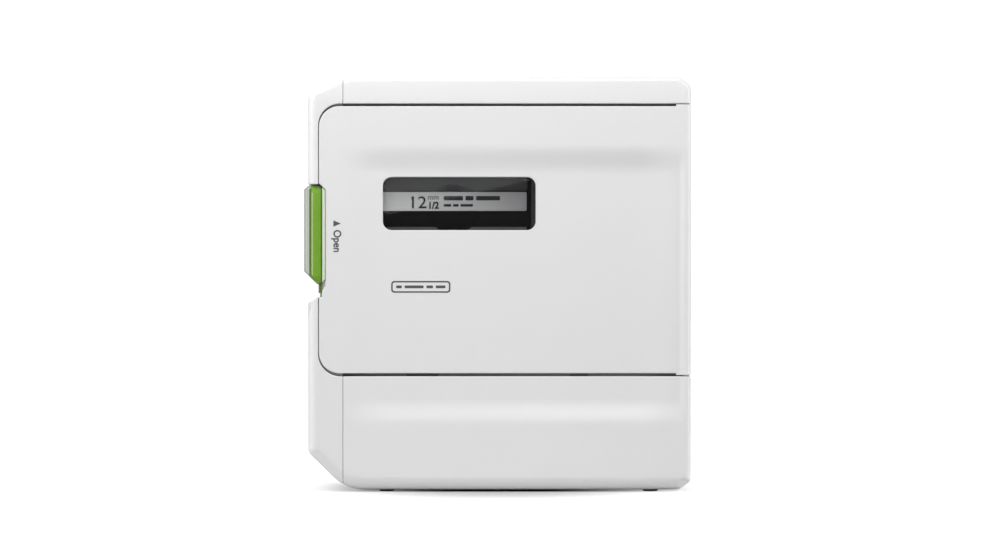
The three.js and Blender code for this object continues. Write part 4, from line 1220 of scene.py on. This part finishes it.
# ---------------------------------------------------------------- button, socket, screws, feet
def build_turned():
    at, jack_at = (-30.0, -8.0), (22.0, 22.0)
    cap = [(0, 129.4), (5.0, 129.4), (5.0, 132.3), (4.88, 132.66), (4.55, 132.87), (4.1, 132.9)]
    cap += [(3.0, 132.74), (1.5, 132.64), (0, 132.6)]
    lathe("button_cap", "button", BUTTON, cap, at, "z", 72, ["power_button"])
    stem = [(0, 127.6), (1.5, 127.6), (1.6, 127.8), (1.6, 129.6), (0, 129.6)]
    lathe("button_stem", "button", BUTTON, stem, at, "z", 32)
    glow = [(5.3, 129.6), (7.3, 129.6), (7.3, 132.65), (7.12, 132.85), (6.9, 132.9), (5.6, 132.9)]
    glow += [(5.42, 132.85), (5.3, 132.7), (5.3, 129.6)]
    lathe("ring_light", "housing", LIGHT, glow, at, "z", 72, ["status_light"])
    mark = Mould()
    arc = [(a, 1.75) for a in np.radians(np.linspace(125, 415, 34))]
    arc += [(a, 1.35) for a in np.radians(np.linspace(415, 125, 34))]
    ring_mark = flat_shape([np.array([(r * math.cos(a), r * math.sin(a)) for a, r in arc])])
    bar = flat_shape([box_outline(-0.2, 0.2, 0.5, 2.1, 0.15)])
    for vertices, faces in (ring_mark, bar):
        height = np.where(vertices[:, 2] > 0, 132.72, 132.5)
        points = np.stack([at[0] + vertices[:, 0], at[1] + vertices[:, 1], height], 1)
        for face in faces:
            mark.flat(points[list(face)])
    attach(mark.build("power_mark", INK), "button")

    socket = [(0, 50.2), (4.6, 50.2), (4.6, 61.3), (4.35, 61.6), (3.4, 61.6), (3.15, 61.35)]
    socket += [(3.15, 53.2), (0, 53.2)]
    lathe("socket_body", "housing", BLACK, socket, jack_at, "x", 56, ["power_jack"])
    pin = [(0, 53.0), (1.0, 53.0), (1.0, 59.5), (0.8, 59.95), (0.4, 60.1), (0, 60.1)]
    lathe("socket_pin", "housing", STEEL, pin, jack_at, "x", 28)


def cross(r, half):
    """A cross outline, anticlockwise, with arms of half width half out to r."""
    quarter = [(r, -half), (r, half), (half, half)]
    points = []
    for turn in range(4):
        c, s = round(math.cos(turn * math.pi / 2)), round(math.sin(turn * math.pi / 2))
        points += [(u * c - v * s, u * s + v * c) for u, v in quarter]
    return np.array(points)


def build_screw(index, x, z):
    """A pan head with a cross recess, its shank, and the posts that it joins."""
    head_y, top_y, floor_y, count = 35.2, 36.25, 35.55, 40
    mould = Mould()
    angles = 2 * math.pi * np.arange(count) / count
    out = np.stack([np.cos(angles), np.zeros(count), np.sin(angles)], 1)
    down, back = np.array([0, -1.0, 0]), np.array([0, 1.0, 0])

    def circle(r, y):
        return out * r + np.array([x, y, z])

    def band(a, b, normals, order=1):
        for i in range(count):
            j = (i + 1) % count
            corners = [a[i], b[i], b[j], a[j]][::order]
            mould.face(corners, [normals[i], normals[i], normals[j], normals[j]][::order])

    def cover(loops, y):
        vertices, faces = flat_shape(loops)
        for face in faces:
            if len(face) == 3 and max(face) < len(vertices) // 2:
                corners = [np.array([vertices[k][0], y, vertices[k][1]]) for k in face[::-1]]
                mould.face(corners, [back] * 3)

    rim = [(2.5, head_y), (2.5, top_y - 0.35), (2.38, top_y - 0.12), (2.15, top_y)]
    for (r0, y0), (r1, y1) in zip(rim[:-1], rim[1:]):
        slope = unit(np.array([y1 - y0, r0 - r1]))
        band(circle(r0, y0), circle(r1, y1), out * slope[0] + back * slope[1])
    recess = cross(1.4, 0.32) + np.array([x, z])
    cover([ring(x, z, 2.15, count), recess[::-1]], top_y)
    for (u, v), (u2, v2) in zip(recess, np.roll(recess, -1, axis=0)):
        mould.flat(np.array([(u, top_y, v), (u2, top_y, v2), (u2, floor_y, v2), (u, floor_y, v)]))
    cover([recess], floor_y)
    band(circle(2.5, head_y), circle(1.0, head_y), [down] * count, -1)
    shank = [(1.0, head_y), (1.0, 1.8), (0.5, 1.0)]
    for start, end in zip(shank[:-1], shank[1:]):
        band(circle(*start), circle(*end), out, -1)
    mould.face(circle(*shank[-1]), [down] * count)
    settle(mould.build(f"screw_{index}", STEEL), "housing", f"case_screw_{index}")
    post = [(3.3, 10.15), (1.3, 10.15), (1.3, 34.9), (3.3, 34.9), (3.3, 10.15)]
    lathe(f"rear_post_{index}", "housing", WHITE, post, (x, z), "y", 36)
    boss = [(2.8, -4.0), (1.2, -4.0), (1.2, 9.85), (2.8, 9.85), (2.8, -4.0)]
    lathe(f"front_boss_{index}", "housing", WHITE, boss, (x, z), "y", 32)


def build_foot(name, x, y):
    def layer(width, length, z):
        shape = stadium(x, y, width, length)
        return np.c_[shape, np.full(len(shape), z)]

    profile = ((0.0, 0.45), (0.12, 0.15), (0.45, 0.0), (1.2, 0.0))
    pad = [layer(4.9 - 2 * d, 11.0 - 2 * d, z) for z, d in profile]
    settle(lofted(name + "_pad", RUBBER, pad), "housing", name)
    seat = [layer(6.4, 12.4, z) for z in (0.9, 3.2)]
    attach(lofted(name + "_seat", WHITE, seat), "housing")


build_turned()
for number, (screw_x, screw_z) in enumerate(SCREWS, 1):
    build_screw(number, screw_x, screw_z)
for column, foot_x in zip(("left", "right"), FOOT_X):
    for row, foot_y in zip(("front", "rear"), FOOT_Y):
        build_foot(f"foot_{column}_{row}", foot_x, foot_y)


# ---------------------------------------------------------------- door fittings
def build_hinge():
    lower, upper = (38.6, 50.0), (111.6, 123.0)
    knuckles = {
        "door_knuckle_lower": ("door", *lower),
        "door_knuckle_upper": ("door", *upper),
        "case_knuckle_lower": ("housing", 50.3, 60.0),
        "case_knuckle_upper": ("housing", 101.6, 111.3),
    }
    for name, (body, z0, z1) in knuckles.items():
        profile = [(0.95, z0), (1.6, z0), (1.8, z0 + 0.2), (1.8, z1 - 0.2), (1.6, z1), (0.95, z1), (0.95, z0)]
        lathe(name, body, WHITE, profile, (HINGE["x"], HINGE["y"]), "z", 36)
    for name, zs in (("door_leaf_lower", lower), ("door_leaf_upper", upper)):
        block(name, "door", DOOR_WHITE, (60.6, 61.9), (-25.4, -22.6), zs, 0.15)


def build_fittings():
    for name, z0, z1 in (("door_hook_lower", 43.0, 51.0), ("door_hook_upper", 108.0, 116.0)):
        block(name, "door", DOOR_WHITE, (-56.2, -54.8), (-34.3, -28.4), (z0, z1), 0.3)
    for name, x0, x1 in (("door_tab_left", -27.8, -19.8), ("door_tab_right", 24.0, 28.4)):
        block(name, "door", DOOR_WHITE, (x0, x1), (-33.6, -31.4), (38.4, 44.0), 0.3)
    # the sill's slots are filled with black blocks: painted shade for the dark inside them
    for name, x0, x1 in (("sill_slot_left", -29.0, -18.8), ("sill_slot_right", 23.5, 29.1)):
        block(name, "housing", BLACK, (x0, x1), (-33.8, -28.0), (35.2, 37.65), 0.05)
    plate = box_outline(-17.2, 28.6, 86.8, 106.6, 1.6)
    slab("rating_plate", "housing", PLATE, plate, 36.0, 36.32, 0.08)


build_hinge()
build_fittings()

ROUNDED = {
    0.04: ["moving_blade", "fixed_blade"],
    0.06: ["motor_pinion"],
    0.08: ["platen_gear", "ribbon_gear", "idler_gear"],
    0.1: [
        "print_head", "main_board", "button_board", "tape_core", "guide_rod", "head_pivot_pin",
        "hinge_pin_lower", "hinge_pin_upper",
    ],
    0.12: ["heat_sink", "ribbon_supply", "ribbon_take_up", "platen_roller"],
    0.15: ["tape_roll"],
    0.2: ["gear_plate", "head_arm", "cutter_guide"],
    0.25: ["radio_module"],
    0.3: ["cartridge_lid", "battery_box", "motor"],
    0.35: ["chassis", "cartridge_base"],
    0.5: [f"battery_cell_{i}" for i in range(1, 7)],
}
for width, parts in ROUNDED.items():
    for part in parts:
        soften(frame["nodes"][part], width, 40)


# ---------------------------------------------------------------- stage, light and camera
def plain_stage(name, size, place, turn, shader_values, unseen=()):
    bpy.ops.mesh.primitive_plane_add(size=size, location=place, rotation=turn)
    plane = bpy.context.object
    plane.name = name
    look = bpy.data.materials.new(name)
    look.use_nodes = True
    shader = look.node_tree.nodes["Principled BSDF"]
    for socket, value in shader_values.items():
        shader.inputs[socket].default_value = value
    plane.data.materials.append(look)
    for ray in unseen:
        setattr(plane, f"visible_{ray}", False)
    return plane


def softbox(name, place, target, size, power):
    light = bpy.data.lights.new(name, "AREA")
    light.shape = "RECTANGLE"
    light.size, light.size_y = size
    light.energy = power
    obj = bpy.data.objects.new(name, light)
    obj.location = place
    aim = Vector(target) - Vector(place)
    obj.rotation_euler = aim.to_track_quat("-Z", "Y").to_euler()
    bpy.context.scene.collection.objects.link(obj)


WORLD_LIGHT, WORLD_SEEN = 0.265, 1.05
PAINTED_FLOOR_LIGHT = 1.1
FLOOR_SHADE, FLOOR_BOUNCE = 0.45, 0.68


def by_camera(tree, elsewhere, seen):
    """A value that is one thing to the camera and another to the light that falls on the object."""
    ray = add_node(tree, "LightPath")
    value = add_node(tree, "MapRange", {"To Min": elsewhere, "To Max": seen})
    connect(tree, (ray, "Is Camera Ray", value, "Value"))
    return value


def painted_floor_light():
    """Painted light on the floor: an unlit layer that brightens the floor away from the object and fades out
    near its foot, where the floor's own shadow shows.
    """
    unseen = ("diffuse", "glossy", "transmission", "shadow")
    layer = plain_stage("painted_floor_light", 16, (0, 0, 0.00002), (0, 0, 0), {}, unseen)
    tree = layer.data.materials[0].node_tree
    tree.nodes.remove(tree.nodes["Principled BSDF"])
    place = add_node(tree, "TexCoord")
    squeeze = add_node(tree, "VectorMath")
    squeeze.operation = "MULTIPLY"
    squeeze.inputs[1].default_value = (1.85, 1.0, 0.0)
    away = add_node(tree, "VectorMath")
    away.operation = "LENGTH"
    rise = add_node(tree, "MapRange", {"From Min": 0.035, "From Max": 0.17, "To Max": PAINTED_FLOOR_LIGHT})
    rise.interpolation_type = "SMOOTHSTEP"
    shine = add_node(tree, "Emission")
    clear = add_node(tree, "BsdfTransparent")
    both = add_node(tree, "AddShader")
    connect(
        tree,
        (place, "Object", squeeze, 0),
        (squeeze, "Vector", away, 0),
        (away, "Value", rise, "Value"),
        (rise, "Result", shine, "Strength"),
        (shine, 0, both, 0),
        (clear, 0, both, 1),
        (both, 0, tree.nodes["Material Output"], "Surface"),
    )


def reflector():
    """A white card behind the camera whose slanting lower edge shows as the sheen across the lens."""
    y = -1.336
    corners = [(-0.088, 0.096), (0.095, 0.14), (0.095, 0.33), (-0.088, 0.33)]
    mesh = bpy.data.meshes.new("reflector")
    mesh.from_pydata([(x, y, z) for x, z in corners], [], [(3, 2, 1, 0)])
    look = bpy.data.materials.new("reflector")
    look.use_nodes = True
    shader = look.node_tree.nodes["Principled BSDF"]
    shader.inputs["Base Color"].default_value = (0, 0, 0, 1)
    shader.inputs["Emission Color"].default_value = (1, 1, 1, 1)
    shader.inputs["Emission Strength"].default_value = 4.6
    mesh.materials.append(look)
    card = bpy.data.objects.new("reflector", mesh)
    card.visible_camera = False
    card.visible_diffuse = False
    card.visible_transmission = False
    card.visible_shadow = False
    bpy.context.scene.collection.objects.link(card)


def set_stage():
    scene = bpy.context.scene
    paper = {"Roughness": 0.9, "Specular IOR Level": 0.0}
    floor = plain_stage("floor", 16, (0, 0, 0), (0, 0, 0), paper)
    tree = floor.data.materials[0].node_tree
    shade = by_camera(tree, FLOOR_BOUNCE, FLOOR_SHADE)
    connect(tree, (shade, "Result", tree.nodes["Principled BSDF"], "Base Color"))
    painted_floor_light()
    reflector()

    world = bpy.data.worlds.new("studio")
    scene.world = world
    world.use_nodes = True
    tree = world.node_tree
    background = tree.nodes["Background"]
    background.inputs["Color"].default_value = (1, 1, 1, 1)
    connect(tree, (by_camera(tree, WORLD_LIGHT, WORLD_SEEN), "Result", background, "Strength"))
    scene.view_settings.view_transform = "Standard"

    middle = (0, FRONT * MM, 0.07)
    softbox("key", (-0.17, -0.32, 0.34), middle, (0.4, 0.2), 0.6)
    softbox("top_strip", (-0.05, -0.14, 0.36), middle, (0.6, 0.1), 0.83)
    softbox("left_fill", (-0.75, -0.12, 0.2), middle, (0.4, 0.5), 2.0)
    softbox("right_fill", (0.75, -0.12, 0.2), middle, (0.4, 0.5), 3.0)

    lens = bpy.data.cameras.new("camera")
    lens.lens = 220
    lens.sensor_width = 36
    camera = bpy.data.objects.new("camera", lens)
    span = 0.3205
    distance = span * lens.lens / lens.sensor_width
    camera.location = (0.0009, FRONT * MM - distance, 0.0679)
    camera.rotation_euler = (math.radians(90), 0, 0)
    scene.collection.objects.link(camera)
    scene.camera = camera


set_stage()
